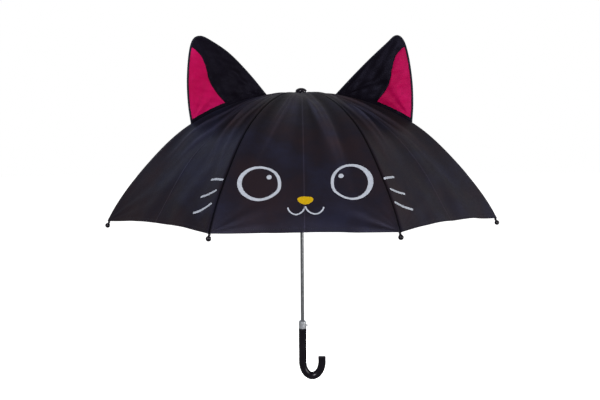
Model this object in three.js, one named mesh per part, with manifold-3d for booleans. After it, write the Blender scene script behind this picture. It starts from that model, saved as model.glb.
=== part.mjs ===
// Children's stick umbrella with an eight-rib dome, two standing cat ears and a J handle.
// Millimetres, +Z up. The origin is on the shaft axis at the middle of the grip.
// The front of the umbrella faces -Y and the hook of the handle points to +X.
import * as THREE from 'three';
import { mergeVertices } from 'three/addons/utils/BufferGeometryUtils.js';
import Module from 'manifold-3d';

const wasm = await Module();
wasm.setup();

// ---- Driving dimensions ----

const GAP = 0.3;                    // air between two pieces that touch

// Canopy: the fabric runs along a circular arc over every rib.
const RIB_COUNT = 8;
const CANOPY_RADIUS = 380;          // shaft axis to a rib tip
const CANOPY_DEPTH = 244;           // apex above the plane of the rib tips
const RIM_Z = 263;                  // plane of the rib tips above the grip
const FABRIC = 0.6;
const FABRIC_HOLE = 8;              // radius of the hole around the shaft
const FABRIC_SHORT = 6.5;           // the hem ends this far before the rib tip, along the arc
const PANEL_SAG = 5;                // a panel lies this far inside the straight line rib to rib
const HEM_RISE = 8;                 // the hem is cut this much shorter midway between ribs
const FRONT_HEM_RISE = 1.5;         // the front panel's hem is almost straight
const FLAT_FROM = 223;              // beyond this distance from the axis a rib bends less
const RIB_FLAT = 4;                 // and lies up to this far inside the arc
const SEAM_GAP = 0.2;               // each half panel stops this far from rib line and crease

// Ribs and stretchers, seen in the upright plane through the shaft axis.
const RIB_DEPTH = 3;                // rib centre line below the outer face of the fabric
const RIB_R = 1.3;
const EYE_R = 2;
const WIRE_R = 0.5;
const WIRE_HOLE_R = WIRE_R + GAP;
const WIRE_RING_R = 9;              // both wire rings, and so both rows of pivots
const NOTCH_DROP = 4.5;             // rib pivots below the apex
const PIVOT_ARC = 200;              // stretcher pivot, along the rib from the apex
const PIVOT_DROP = 3;               // stretcher pivot below the rib centre line
const BLADE = 1.6;                  // thickness of rib eyes and of the pivot lug
const PIN_R = 0.6;
const CHEEK = 0.9;
const CHEEK_R = 1.6;
const LUG_REACH = 4;                // the lug runs this far up and down the rib from its pivot
const BAR_HEIGHT = 2.6;
const BAR_DROP = 1.8;               // bar centre line below the runner pivot
const BAR_WIDTH = 2;
const FORK_LENGTH = 14;
const WEB_LENGTH = 4;               // where the cheeks of the fork join the bar
const TIP_BALL_R = 4.3;
const TIP_NECK_R = 2;
const TIP_LENGTH = 7.5;             // from the middle of the ball to the end of the neck

// Shaft, runner and crowns.
const SHAFT_R = 3.5;
const SHAFT_WALL = 0.6;
const SHAFT_TOP = 512.6;
const SHAFT_BOTTOM = -8;
const BORE_R = SHAFT_R + GAP;
const CROWN_R = 11;
const CROWN_CORE_R = 6.2;
const CROWN_UP = 3.1;               // crown above its wire ring
const CROWN_DOWN = 4.2;
const SLOT = 3;
const SLEEVE_R = 5.5;
const SLEEVE_LENGTH = 60;
const SLEEVE_LIP_R = 6.2;
const SPRING_NOSE = 3;              // the catch stands this far out of the shaft
const SPRING_LENGTH = 24;
const SPRING_FLAT = 4;              // upright end of the nose
const SPRING_TAIL = 8;              // leaf inside the shaft below the nose
const LEAF_NEAR = 0.8;              // the leaf lies between these distances from the shaft axis
const LEAF_FAR = 1.4;

// Cap and rosette over the apex.
const CAP_R = 11;
const CAP_HEIGHT = 7.6;
const CAP_RIM = 1.4;                // upright edge below the dome
const ROSETTE_R = 13.5;
const ROSETTE = 0.8;

// Handle and collar.
const HANDLE_R = 7.8;
const HANDLE_TOP = 34.7;
const HOOK_CENTRE_Z = -33.5;
const HOOK_HALF_WIDTH = 19.5;
const HOOK_DEPTH = 29;
const HOOK_END_Z = -22.5;
const PLUG_R = 5.2;
const PLUG_DEPTH = 2.4;
const COLLAR_R = 7.4;
const COLLAR_HEIGHT = 16.6;
const COLLAR_CHAMFER = 2.7;
const BUTTON_R = 1.5;
const BUTTON_OUT = 3;               // the button stands this far out of the collar
const BUTTON_ABOVE = 6.2;           // above the lower end of the collar
const BUTTON_ROOM = 2.2;            // between the button and the shaft

// Ears stand on the two side ribs, upright in the plane of the rib.
// shift moves the whole ear out along its rib, and lean tilts it inwards by that much of its
// height: the two are sewn on by hand and do not stand quite alike. fullness says how much of
// the bow of the long upper edge is left over the straight line to the peak.
const EARS = {
  right: { rib: 2, shift: -0.5, lean: 0.115, fullness: 0.2 },
  left: { rib: 7, shift: 0, lean: 0.035, fullness: 1 },
};
const EAR_INNER = 75;               // where the long upper edge meets the fabric
const EAR_OUTER = 220;              // where the short outer edge meets the fabric
const EAR_LINING = 151;             // where the edge of the lining meets the fabric
// Places on an ear: distance from the axis, and height above the line between its base's ends.
const EAR_EDGE = [
  [112, 53],
  [152, 104],
  [190, 141],
  [209, 154.3],
  [221, 150.3],
  [227, 125],
  [229, 81],
  [226, 37],
];
const EAR_PEAK = 3;                 // which of them is the peak
const LINING_EDGE = [
  [219, 136],
  [205, 117],
  [196, 92],
  [190, 69],
  [178, 44],
];
const EAR_PANEL = 1.3;
const EAR_SPACE = 0.5;              // between the front and back panels
const PIPING_R = 1.2;

// ---- Derived places ----

const APEX_Z = RIM_Z + CANOPY_DEPTH;
const ARC_R = (CANOPY_RADIUS ** 2 + CANOPY_DEPTH ** 2) / (2 * CANOPY_DEPTH);
const ARC_Z = APEX_Z - ARC_R;
const TIP_ANGLE = Math.asin(CANOPY_RADIUS / ARC_R);
const FLAT_ANGLE = Math.asin(FLAT_FROM / ARC_R);
const RIB_ARC_R = ARC_R - RIB_DEPTH;
const HALF_PITCH = Math.PI / RIB_COUNT;

// How far a rib and its fabric lie inside the even arc.
function flattened(angle) {
  const share = (angle - FLAT_ANGLE) / (TIP_ANGLE - FLAT_ANGLE);
  return share > 0 && share < 1 ? RIB_FLAT * Math.sin(Math.PI * share) ** 2 : 0;
}

// A point in a rib's plane, [from the axis, height], on an arc about the canopy's centre.
function onArc(angle, arcRadius) {
  const radius = arcRadius - flattened(angle);
  return [radius * Math.sin(angle), ARC_Z + radius * Math.cos(angle)];
}

const NOTCH = [WIRE_RING_R, APEX_Z - NOTCH_DROP];
const JOINT = onArc(PIVOT_ARC / ARC_R, RIB_ARC_R - PIVOT_DROP);
// Rib pivot, stretcher pivot and runner pivot make an isosceles triangle.
const RUNNER_PIVOT = [WIRE_RING_R, 2 * JOINT[1] - NOTCH[1]];

// ---- Materials ----

function finish(color, roughness, metalness = 0) {
  return new THREE.MeshStandardMaterial({ color, roughness, metalness });
}

const fabricBlack = finish(0x1f1b28, 0.75);
const earBlack = finish(0x1a1820, 0.8);
const liningPink = finish(0xc21a62, 0.7);
const pipingBlack = finish(0x0d0d10, 0.6);
const steel = finish(0x9a9ca0, 0.3, 1);
const darkSteel = finish(0x55575c, 0.4, 1);
const collarSilver = finish(0xb9bcbe, 0.45, 0.8);
const glossBlack = finish(0x08080a, 0.12);
const mattBlack = finish(0x141416, 0.5);

// ---- Geometry helpers ----

// Welds a closed geometry by position alone and makes it a solid for joining and cutting.
function solidOf(geometry) {
  const bare = geometry.clone();
  bare.deleteAttribute('normal');
  bare.deleteAttribute('uv');
  const welded = mergeVertices(bare, 1e-4);
  return new wasm.Manifold(new wasm.Mesh({
    numProp: 3,
    vertProperties: new Float32Array(welded.attributes.position.array),
    triVerts: new Uint32Array(welded.index.array),
  }));
}

function geometryOf(solid) {
  const { vertProperties, triVerts } = solid.getMesh();
  const geometry = new THREE.BufferGeometry();
  geometry.setAttribute('position', new THREE.BufferAttribute(vertProperties, 3));
  geometry.setIndex(new THREE.BufferAttribute(triVerts, 1));
  return geometry;
}

function joined(geometries) {
  return geometries.map(solidOf).reduce((sum, solid) => sum.add(solid));
}

function cut(body, cutters) {
  return cutters.map(solidOf).reduce((rest, solid) => rest.subtract(solid), body);
}

// A solid of revolution about +Z from a closed outline of [radius, height] points.
function turned(outline, segments) {
  const points = outline.map(([r, z]) => new THREE.Vector2(r, z));
  return new THREE.LatheGeometry(points, segments).rotateX(Math.PI / 2);
}

// A ring or washer about +Z with a square section.
function ring(inner, outer, low, high, segments = 24) {
  return turned([[inner, low], [outer, low], [outer, high], [inner, high], [inner, low]], segments);
}

// A plain rod between two heights about +Z.
function rod(radius, low, high, segments = 16) {
  return turned([[0, low], [radius, low], [radius, high], [0, high]], segments);
}

// A flat piece with the given outline, centred on its own thickness.
function plate(shape, thickness, curveSegments = 3) {
  const settings = { depth: thickness, bevelEnabled: false, curveSegments };
  const geometry = new THREE.ExtrudeGeometry(shape, settings);
  return geometry.translate(0, 0, -thickness / 2);
}

// A disc that faces along Z, at a place in the XY plane.
function disc([x, y], radius, thickness, segments = 10) {
  const shape = new THREE.Shape();
  shape.absarc(0, 0, radius, 0, 2 * Math.PI, false);
  return plate(shape, thickness, segments / 2).translate(x, y, 0);
}

// A round bar that follows a curve. A full circle gets twice as many sides as curveSegments.
function barAlong(curve, radius, steps, sides = 6) {
  const section = new THREE.Shape();
  section.absarc(0, 0, radius, 0, 2 * Math.PI, false);
  return new THREE.ExtrudeGeometry(section, { steps, curveSegments: sides / 2, extrudePath: curve });
}

// A closed thin solid between an outer and an inner grid of points.
function skin(outerAt, innerAt, rows, columns) {
  const position = [];
  for (const at of [outerAt, innerAt]) {
    for (let i = 0; i <= rows; i += 1) {
      for (let j = 0; j <= columns; j += 1) {
        position.push(...at(i / rows, j / columns));
      }
    }
  }
  const across = columns + 1;
  const layer = (rows + 1) * across;
  const index = [];
  const quad = (a, b, c, d) => index.push(a, b, c, a, c, d);
  for (let i = 0; i < rows; i += 1) {
    for (let j = 0; j < columns; j += 1) {
      const a = i * across + j;
      quad(a, a + across, a + across + 1, a + 1);
      quad(layer + a, layer + a + 1, layer + a + across + 1, layer + a + across);
    }
  }
  for (let i = 0; i < rows; i += 1) {
    const a = i * across;
    quad(a, layer + a, layer + a + across, a + across);
    quad(a + columns, a + columns + across, layer + a + columns + across, layer + a + columns);
  }
  for (let j = 0; j < columns; j += 1) {
    const last = rows * across + j;
    quad(j, j + 1, layer + j + 1, layer + j);
    quad(last, layer + last, layer + last + 1, last + 1);
  }
  const geometry = new THREE.BufferGeometry();
  geometry.setAttribute('position', new THREE.Float32BufferAttribute(position, 3));
  geometry.setIndex(index);
  return geometry;
}

// ---- Scene graph helpers ----

const group = new THREE.Group();

function add(parent, name, geometry, material) {
  const mesh = new THREE.Mesh(geometry, material);
  mesh.name = name;
  parent.add(mesh);
}

// A group whose X runs out along rib k, Y up the shaft and Z along the rib's hinge line.
function ribPlane(k) {
  const azimuth = (2 * k - 1) * HALF_PITCH;
  const plane = new THREE.Group();
  plane.rotation.order = 'ZXY';
  plane.rotation.set(Math.PI / 2, 0, azimuth - Math.PI / 2);
  group.add(plane);
  return plane;
}

// ---- Shaft, handle and the pieces on them ----

const SLEEVE_END = RUNNER_PIVOT[1] - CROWN_DOWN - SLEEVE_LENGTH;
const SPRING_TOP = SLEEVE_END - 1;

function shaft() {
  const tube = ring(SHAFT_R - SHAFT_WALL, SHAFT_R, SHAFT_BOTTOM, SHAFT_TOP, 20);
  const clear = 1;
  const window = new THREE.BoxGeometry(BLADE + 2 * GAP, SHAFT_R, SPRING_LENGTH + 2 * clear);
  window.translate(0, -SHAFT_R, SPRING_TOP - SPRING_LENGTH / 2 + clear / 2);
  return geometryOf(cut(solidOf(tube), [window]));
}

// A leaf catch inside the shaft with a wedge nose that stands out to the front.
function topSpring() {
  const out = SHAFT_R + SPRING_NOSE;
  const low = SPRING_TOP - SPRING_LENGTH;
  const shape = new THREE.Shape();
  shape.moveTo(LEAF_NEAR, low - SPRING_TAIL);
  shape.lineTo(LEAF_FAR, low - SPRING_TAIL);
  shape.lineTo(LEAF_FAR, low);
  shape.lineTo(out, SPRING_TOP - SPRING_FLAT);
  shape.lineTo(out, SPRING_TOP);
  shape.lineTo(LEAF_NEAR, SPRING_TOP);
  shape.closePath();
  return plate(shape, BLADE).rotateX(Math.PI / 2).rotateZ(-Math.PI / 2);
}

// A slotted crown about the shaft, with a groove for the wire ring that holds eight eyes.
function crown(wireZ, extra = []) {
  const body = joined([
    ring(BORE_R, CROWN_R, wireZ - CROWN_DOWN, wireZ + CROWN_UP, 24),
    ...extra,
  ]);
  const clear = 2;
  const slotLength = CROWN_R - CROWN_CORE_R + clear;
  const slots = [];
  for (let k = 1; k <= RIB_COUNT; k += 1) {
    const slot = new THREE.BoxGeometry(slotLength, SLOT, CROWN_UP + CROWN_DOWN + clear);
    slot.translate(CROWN_CORE_R + slotLength / 2, 0, wireZ);
    slots.push(slot.rotateZ((2 * k - 1) * HALF_PITCH - Math.PI / 2));
  }
  const groove = ring(WIRE_RING_R - WIRE_HOLE_R, CROWN_R + clear, wireZ - WIRE_HOLE_R, wireZ + WIRE_HOLE_R);
  return geometryOf(cut(body, [...slots, groove]));
}

function wireRing(z) {
  return new THREE.TorusGeometry(WIRE_RING_R, WIRE_R, 5, 24).translate(0, 0, z);
}

function runner() {
  const lip = 6;
  const top = RUNNER_PIVOT[1] - CROWN_DOWN + 1;
  const sleeve = turned([
    [BORE_R, SLEEVE_END],
    [SLEEVE_LIP_R, SLEEVE_END],
    [SLEEVE_LIP_R, SLEEVE_END + lip],
    [SLEEVE_R, SLEEVE_END + lip + 2],
    [SLEEVE_R, top],
    [BORE_R, top],
    [BORE_R, SLEEVE_END],
  ], 24);
  return crown(RUNNER_PIVOT[1], [sleeve]);
}

function topCap() {
  const base = APEX_Z + GAP + ROSETTE + GAP;
  const outline = [[0, SHAFT_TOP + GAP], [BORE_R, SHAFT_TOP + GAP], [BORE_R, base], [CAP_R, base]];
  const dome = 6;
  for (let i = 0; i <= dome; i += 1) {
    const turn = (i / dome) * (Math.PI / 2);
    const r = i === dome ? 0 : CAP_R * Math.cos(turn);
    outline.push([r, base + CAP_RIM + (CAP_HEIGHT - CAP_RIM) * Math.sin(turn)]);
  }
  return turned(outline, 20);
}

// The centre line of the J: down the grip, round half an ellipse and up to the hook's end.
function handleLine() {
  const line = new THREE.CurvePath();
  const at = (x, z) => new THREE.Vector3(x, 0, z);
  line.add(new THREE.LineCurve3(at(0, HANDLE_TOP), at(0, HOOK_CENTRE_Z)));
  const bend = [];
  const turns = 16;
  for (let i = 0; i <= turns; i += 1) {
    const angle = Math.PI + (i / turns) * Math.PI;
    bend.push(at(
      HOOK_HALF_WIDTH * (1 + Math.cos(angle)),
      HOOK_CENTRE_Z + HOOK_DEPTH * Math.sin(angle),
    ));
  }
  line.add(new THREE.CatmullRomCurve3(bend));
  line.add(new THREE.LineCurve3(bend[turns], at(2 * HOOK_HALF_WIDTH, HOOK_END_Z)));
  return line;
}

function handle() {
  const bar = barAlong(handleLine(), HANDLE_R, 30, 14);
  const bore = rod(BORE_R, SHAFT_BOTTOM - GAP, HANDLE_TOP + 1);
  const recess = rod(PLUG_R, HOOK_END_Z - PLUG_DEPTH, HOOK_END_Z + 1);
  recess.translate(2 * HOOK_HALF_WIDTH, 0, 0);
  return geometryOf(cut(solidOf(bar), [bore, recess]));
}

function handleEndPlug() {
  const plug = rod(PLUG_R - GAP, HOOK_END_Z - PLUG_DEPTH + GAP, HOOK_END_Z, 20);
  return plug.translate(2 * HOOK_HALF_WIDTH, 0, 0);
}

const COLLAR_LOW = HANDLE_TOP + GAP;
const BUTTON_Z = COLLAR_LOW + BUTTON_ABOVE;

function handleCollar() {
  const high = COLLAR_LOW + COLLAR_HEIGHT;
  const body = turned([
    [BORE_R, COLLAR_LOW],
    [COLLAR_R, COLLAR_LOW],
    [COLLAR_R, high - COLLAR_CHAMFER],
    [COLLAR_R - 2, high],
    [BORE_R, high],
    [BORE_R, COLLAR_LOW],
  ], 28);
  const hole = rod(BUTTON_R + GAP, 1, COLLAR_R + 2, 12).rotateY(Math.PI / 2).translate(0, 0, BUTTON_Z);
  return geometryOf(cut(solidOf(body), [hole]));
}

function releaseButton() {
  const inner = SHAFT_R + GAP + BUTTON_ROOM;
  const outer = COLLAR_R + BUTTON_OUT;
  const edge = 0.5;
  const outline = [
    [0, inner],
    [BUTTON_R, inner],
    [BUTTON_R, outer - edge],
    [BUTTON_R - edge, outer],
    [0, outer],
  ];
  return turned(outline, 12).rotateY(Math.PI / 2).translate(0, 0, BUTTON_Z);
}

function frameAndHandle() {
  const rosetteLow = APEX_Z + GAP;
  add(group, 'shaft', shaft(), steel);
  add(group, 'top_spring', topSpring(), darkSteel);
  add(group, 'top_notch', crown(NOTCH[1]), mattBlack);
  add(group, 'notch_wire', wireRing(NOTCH[1]), steel);
  add(group, 'canopy_rosette', ring(BORE_R, ROSETTE_R, rosetteLow, rosetteLow + ROSETTE, 24), fabricBlack);
  add(group, 'top_cap', topCap(), glossBlack);
  add(group, 'runner', runner(), mattBlack);
  add(group, 'runner_wire', wireRing(RUNNER_PIVOT[1]), steel);
  add(group, 'handle', handle(), glossBlack);
  add(group, 'handle_end_plug', handleEndPlug(), mattBlack);
  add(group, 'handle_collar', handleCollar(), collarSilver);
  add(group, 'release_button', releaseButton(), collarSilver);
}

// ---- Ribs, rib tips and stretchers ----

// A spring-steel rib: an eye on the notch wire, an arc under the fabric and a pivot lug.
function rib() {
  const start = 16;
  const steps = 16;
  const first = Math.asin(start / RIB_ARC_R);
  const last = TIP_ANGLE - 1 / ARC_R;
  const line = [new THREE.Vector3(NOTCH[0] + 1, NOTCH[1] + 0.3, 0)];
  for (let i = 0; i <= steps; i += 1) {
    const [x, y] = onArc(first + ((last - first) * i) / steps, RIB_ARC_R);
    line.push(new THREE.Vector3(x, y, 0));
  }
  const lug = new THREE.Shape();
  const slope = LUG_REACH / 2;
  lug.moveTo(JOINT[0] - LUG_REACH, JOINT[1] + PIVOT_DROP + slope);
  lug.lineTo(JOINT[0] - CHEEK_R, JOINT[1]);
  lug.absarc(JOINT[0], JOINT[1], CHEEK_R, Math.PI, 2 * Math.PI, false);
  lug.lineTo(JOINT[0] + LUG_REACH, JOINT[1] + PIVOT_DROP - slope);
  lug.closePath();
  const body = joined([
    barAlong(new THREE.CatmullRomCurve3(line), RIB_R, 20, 6),
    disc(NOTCH, EYE_R, BLADE),
    plate(lug, BLADE),
  ]);
  return geometryOf(cut(body, [
    disc(NOTCH, WIRE_HOLE_R, 2 * BLADE),
    disc(JOINT, PIN_R + GAP, 2 * BLADE),
  ]));
}

// A ball on a short neck, with a blind bore for the end of the rib.
function ribTip() {
  const bore = RIB_R + GAP;
  const boreEnd = 1.2;
  const joinAngle = Math.acos(TIP_NECK_R / TIP_BALL_R);
  const outline = [[0, boreEnd], [bore, boreEnd], [bore, -TIP_LENGTH], [TIP_NECK_R, -TIP_LENGTH]];
  const steps = 5;
  for (let i = 0; i <= steps; i += 1) {
    const turn = -joinAngle + ((joinAngle + Math.PI / 2) * i) / steps;
    outline.push([i === steps ? 0 : TIP_BALL_R * Math.cos(turn), TIP_BALL_R * Math.sin(turn)]);
  }
  const [x, y] = onArc(TIP_ANGLE, RIB_ARC_R);
  // Turned about Y in the rib's plane, then tipped to follow the end of the rib.
  return turned(outline, 10).rotateX(-Math.PI / 2).rotateZ(-Math.PI / 2 - TIP_ANGLE).translate(x, y, 0);
}

// A flat bar that forks round the rib's lug at one end. Its other end lies in a slot of the
// runner's crown, where an open saddle holds the runner's wire.
function stretcher() {
  const dx = JOINT[0] - RUNNER_PIVOT[0];
  const dy = JOINT[1] - RUNNER_PIVOT[1];
  const length = Math.hypot(dx, dy);
  const forkStart = length - FORK_LENGTH;
  const barEnd = forkStart + WEB_LENGTH;
  const end = -1.8;
  const corner = 0.8;
  const bendStart = 20;
  const bendEnd = 40;
  const half = BAR_HEIGHT / 2;
  const bar = new THREE.Shape();
  bar.moveTo(end, -BAR_DROP - half + corner);
  bar.lineTo(end + corner, -BAR_DROP - half);
  bar.lineTo(bendStart, -BAR_DROP - half);
  bar.lineTo(bendEnd, -half);
  bar.lineTo(barEnd, -half);
  bar.lineTo(barEnd, half);
  bar.lineTo(bendEnd, half);
  bar.lineTo(bendStart, -BAR_DROP + half);
  bar.lineTo(end, -BAR_DROP + half);
  bar.closePath();
  const cheek = new THREE.Shape();
  cheek.moveTo(forkStart, -half);
  cheek.lineTo(length, -CHEEK_R);
  cheek.absarc(length, 0, CHEEK_R, -Math.PI / 2, Math.PI / 2, false);
  cheek.lineTo(forkStart, half);
  cheek.closePath();
  const inside = BLADE / 2 + GAP;
  const outside = inside + CHEEK;
  const headR = 1.1;
  const head = 0.4;
  const sunk = head / 8;
  const pieces = [plate(bar, BAR_WIDTH), disc([length, 0], PIN_R, 2 * (outside + head), 8)];
  for (const side of [-1, 1]) {
    pieces.push(plate(cheek, CHEEK).translate(0, 0, side * (inside + CHEEK / 2)));
    pieces.push(disc([length, 0], headR, head, 8).translate(0, 0, side * (outside + head / 2 - sunk)));
  }
  // A web joins the cheeks to the end of the bar.
  const web = new THREE.BoxGeometry(WEB_LENGTH, BAR_HEIGHT, 2 * outside);
  pieces.push(web.translate(forkStart + WEB_LENGTH / 2, 0, 0));
  const saddle = disc([0, 0], WIRE_HOLE_R + 0.1, 2 * BAR_WIDTH);
  const solid = cut(joined(pieces), [saddle]);
  const geometry = geometryOf(solid);
  geometry.rotateZ(Math.atan2(dy, dx));
  return geometry.translate(RUNNER_PIVOT[0], RUNNER_PIVOT[1], 0);
}

// ---- Canopy ----

const FIRST_ANGLE = Math.asin(FABRIC_HOLE / ARC_R);
const HEM_ANGLE = TIP_ANGLE - FABRIC_SHORT / ARC_R;

// A fabric point of half a panel in its rib's plane: s runs from apex to hem and w from the
// rib line to the crease midway between two ribs. side is -1 or 1 along the rib's hinge line.
function fabricPoint(s, w, side, rise, inward) {
  const middle = 1 - (1 - w) ** 2;
  const angle = FIRST_ANGLE + (HEM_ANGLE - (rise * middle) / ARC_R - FIRST_ANGLE) * s;
  const depth = inward + PANEL_SAG * middle * Math.sin(Math.PI * s);
  const [r, z] = onArc(angle, ARC_R - depth);
  const halfWidth = r * Math.sin(HALF_PITCH);
  const gap = SEAM_GAP / halfWidth;
  const across = gap + (1 - 2 * gap) * w;
  return [
    r * (1 - across * Math.sin(HALF_PITCH) ** 2),
    z,
    side * across * halfWidth * Math.cos(HALF_PITCH),
  ];
}

function halfPanel(side, rise) {
  const outer = (s, w) => fabricPoint(s, w, side, rise, 0);
  const inner = (s, w) => fabricPoint(s, w, side, rise, FABRIC);
  return side < 0 ? skin(outer, inner, 12, 3) : skin(inner, outer, 12, 3);
}

// ---- Ears ----

function fabricHeight(r) {
  return ARC_Z + Math.sqrt(ARC_R ** 2 - r ** 2);
}

// Runs along the fabric from one distance to another, a seam's width above it.
function baseLine(from, to, lift) {
  const points = [];
  const steps = 6;
  for (let i = 0; i <= steps; i += 1) {
    const r = from + ((to - from) * i) / steps;
    points.push(new THREE.Vector2(r, fabricHeight(r) + lift));
  }
  return points;
}

// A place on one ear as a point of its rib's plane.
function earPoint({ shift, lean }, [out, up]) {
  const inner = fabricHeight(EAR_INNER + shift);
  const outer = fabricHeight(EAR_OUTER + shift);
  const share = (out - EAR_INNER) / (EAR_OUTER - EAR_INNER);
  return new THREE.Vector2(out + shift - lean * up, inner + (outer - inner) * share + up);
}

// The same for a place on the edge.
function edgePoint(shape, [out, up]) {
  const [peakOut, peakUp] = EAR_EDGE[EAR_PEAK];
  const straight = (peakUp * (out - EAR_INNER)) / (peakOut - EAR_INNER);
  const bowed = out < peakOut ? straight + (up - straight) * shape.fullness : up;
  return earPoint(shape, [out, bowed]);
}

function basePoint({ shift }, out) {
  return new THREE.Vector2(out + shift, fabricHeight(out + shift) + 1);
}

// The long upper edge, the rounded tip and the bulging outer edge, from inner to outer base.
function earEdge(shape) {
  return new THREE.SplineCurve([
    basePoint(shape, EAR_INNER),
    ...EAR_EDGE.map((place) => edgePoint(shape, place)),
    basePoint(shape, EAR_OUTER),
  ]).getPoints(36);
}

// The front panel meets the lining along this S, from the outer edge down to the base.
function liningEdge(shape) {
  return new THREE.SplineCurve([
    ...LINING_EDGE.map((place) => earPoint(shape, place)),
    basePoint(shape, EAR_LINING),
  ]).getPoints(10);
}

// The edge moved outwards by a distance, on its left as it runs from inner to outer base.
function moved(points, distance) {
  return points.map((point, i) => {
    const along = points[Math.min(i + 1, points.length - 1)].clone();
    along.sub(points[Math.max(i - 1, 0)]).normalize();
    return new THREE.Vector2(point.x - along.y * distance, point.y + along.x * distance);
  });
}

function ear(side) {
  const shape = EARS[side];
  // The front face of each ear looks towards -Y.
  const front = side === 'right' ? 1 : -1;
  const plane = ribPlane(shape.rib);
  const edge = earEdge(shape);
  const seam = liningEdge(shape);
  const lift = 1;
  const baseStart = edge[0].x + 1;
  const baseEnd = edge[edge.length - 1].x - 1;
  const frontAt = front * (EAR_SPACE / 2 + EAR_PANEL / 2);
  const turn = edge.findIndex((point, i) => i > edge.length / 2 && point.y < seam[0].y);
  const inset = 0.5;
  const backShape = new THREE.Shape([...edge, ...baseLine(baseEnd, baseStart, lift)]);
  const blackShape = new THREE.Shape([
    ...edge.slice(0, turn),
    ...seam.map((point) => new THREE.Vector2(point.x - inset, point.y + inset)),
    ...baseLine(seam[seam.length - 1].x - 2, baseStart, lift),
  ]);
  const pinkShape = new THREE.Shape([
    ...edge.slice(turn),
    ...baseLine(baseEnd, seam[seam.length - 1].x + 2, lift),
    ...seam.slice().reverse(),
  ]);
  const piping = moved(edge, PIPING_R + 2 * GAP).map(({ x, y }) => new THREE.Vector3(x, y, 0));
  const back = plate(backShape, EAR_PANEL).translate(0, 0, -frontAt);
  const black = plate(blackShape, EAR_PANEL).translate(0, 0, frontAt);
  const pink = plate(pinkShape, EAR_PANEL).translate(0, 0, frontAt);
  add(plane, `ear_${side}_back`, back, earBlack);
  add(plane, `ear_${side}_front`, black, earBlack);
  add(plane, `ear_${side}_lining`, pink, liningPink);
  add(plane, `ear_${side}_piping`, barAlong(new THREE.CatmullRomCurve3(piping), PIPING_R, 38), pipingBlack);
}

// ---- Assembly ----

frameAndHandle();

const ribGeometry = rib();
const tipGeometry = ribTip();
const stretcherGeometry = stretcher();
const panelBefore = halfPanel(1, HEM_RISE);
const panelAfter = halfPanel(-1, HEM_RISE);
const frontBefore = halfPanel(1, FRONT_HEM_RISE);
const frontAfter = halfPanel(-1, FRONT_HEM_RISE);

for (let k = 1; k <= RIB_COUNT; k += 1) {
  const plane = ribPlane(k);
  add(plane, `rib_${k}`, ribGeometry, steel);
  add(plane, `rib_tip_${k}`, tipGeometry, glossBlack);
  add(plane, `stretcher_${k}`, stretcherGeometry, steel);
  add(plane, `canopy_${k}_before`, k === 1 ? frontBefore : panelBefore, fabricBlack);
  add(plane, `canopy_${k}_after`, k === RIB_COUNT ? frontAfter : panelAfter, fabricBlack);
}

for (const side of Object.keys(EARS)) {
  ear(side);
}

export default group;
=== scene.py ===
"""Children's cat-ear umbrella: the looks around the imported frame. Metres, +Z up, the front faces -Y.

The canopy is one curved surface, cloth(), cut into the sixteen half panels that fold along the
ribs and along the crease in the middle of each panel.
"""

import math

import bpy
import numpy as np
from mathutils import Euler, Matrix, Vector


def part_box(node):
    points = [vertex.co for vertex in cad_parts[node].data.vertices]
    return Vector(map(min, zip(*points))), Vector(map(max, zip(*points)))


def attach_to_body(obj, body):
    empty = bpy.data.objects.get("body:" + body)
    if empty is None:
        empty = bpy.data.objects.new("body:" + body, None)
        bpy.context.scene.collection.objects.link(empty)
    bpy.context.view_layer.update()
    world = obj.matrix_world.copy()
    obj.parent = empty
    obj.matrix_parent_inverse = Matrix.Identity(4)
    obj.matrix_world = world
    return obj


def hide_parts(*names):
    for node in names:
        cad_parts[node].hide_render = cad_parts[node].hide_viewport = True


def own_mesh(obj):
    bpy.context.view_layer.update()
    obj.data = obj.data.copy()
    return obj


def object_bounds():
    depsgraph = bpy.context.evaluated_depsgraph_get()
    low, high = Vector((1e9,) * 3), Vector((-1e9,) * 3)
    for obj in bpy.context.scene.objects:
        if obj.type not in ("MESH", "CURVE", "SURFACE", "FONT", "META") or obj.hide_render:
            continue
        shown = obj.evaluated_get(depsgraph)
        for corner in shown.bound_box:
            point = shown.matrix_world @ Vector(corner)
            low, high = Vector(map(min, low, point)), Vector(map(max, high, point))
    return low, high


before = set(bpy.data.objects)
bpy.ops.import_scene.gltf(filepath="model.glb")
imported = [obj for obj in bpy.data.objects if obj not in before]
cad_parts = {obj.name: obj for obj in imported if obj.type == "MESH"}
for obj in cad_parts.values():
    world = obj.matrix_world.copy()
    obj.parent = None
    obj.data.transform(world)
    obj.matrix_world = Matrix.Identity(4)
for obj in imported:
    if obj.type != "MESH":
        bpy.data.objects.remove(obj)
cad_low, cad_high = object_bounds()

# ---- Dimensions of the frame ----

MM = 0.001
RIB_COUNT = 8
HALF_PITCH = math.pi / RIB_COUNT
RIM_R = 380 * MM                # the rib tips, from the shaft's axis
RIM_Z = 263 * MM
APEX_Z = RIM_Z + 244 * MM
DOME = APEX_Z - RIM_Z
ARC_R = (RIM_R ** 2 + DOME ** 2) / (2 * DOME)
ARC_Z = APEX_Z - ARC_R
TIP_ANGLE = math.asin(RIM_R / ARC_R)
HOLE_R = 8 * MM                 # hole in the cloth under the cap
FIRST_ANGLE = math.asin(HOLE_R / ARC_R)
HEM_INSET = 6.5 * MM            # the hem stops short of the rib tips
HEM_ANGLE = TIP_ANGLE - HEM_INSET / ARC_R
CLOTH_LENGTH = (HEM_ANGLE - FIRST_ANGLE) * ARC_R
HALF_WIDTH = RIM_R * math.sin(HALF_PITCH)
SAG = 5 * MM                    # of a panel between its ribs
HEM_RISE = 8 * MM
FRONT_HEM_RISE = 1.5 * MM
RIB_ARC_R = ARC_R - 3 * MM      # the ribs' centreline, under the cloth
LUG_DROP = 3 * MM               # the stretcher's rivet, under that line
LUG_ANGLE = 200 * MM / ARC_R
PIVOT_R = 9 * MM
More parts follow.
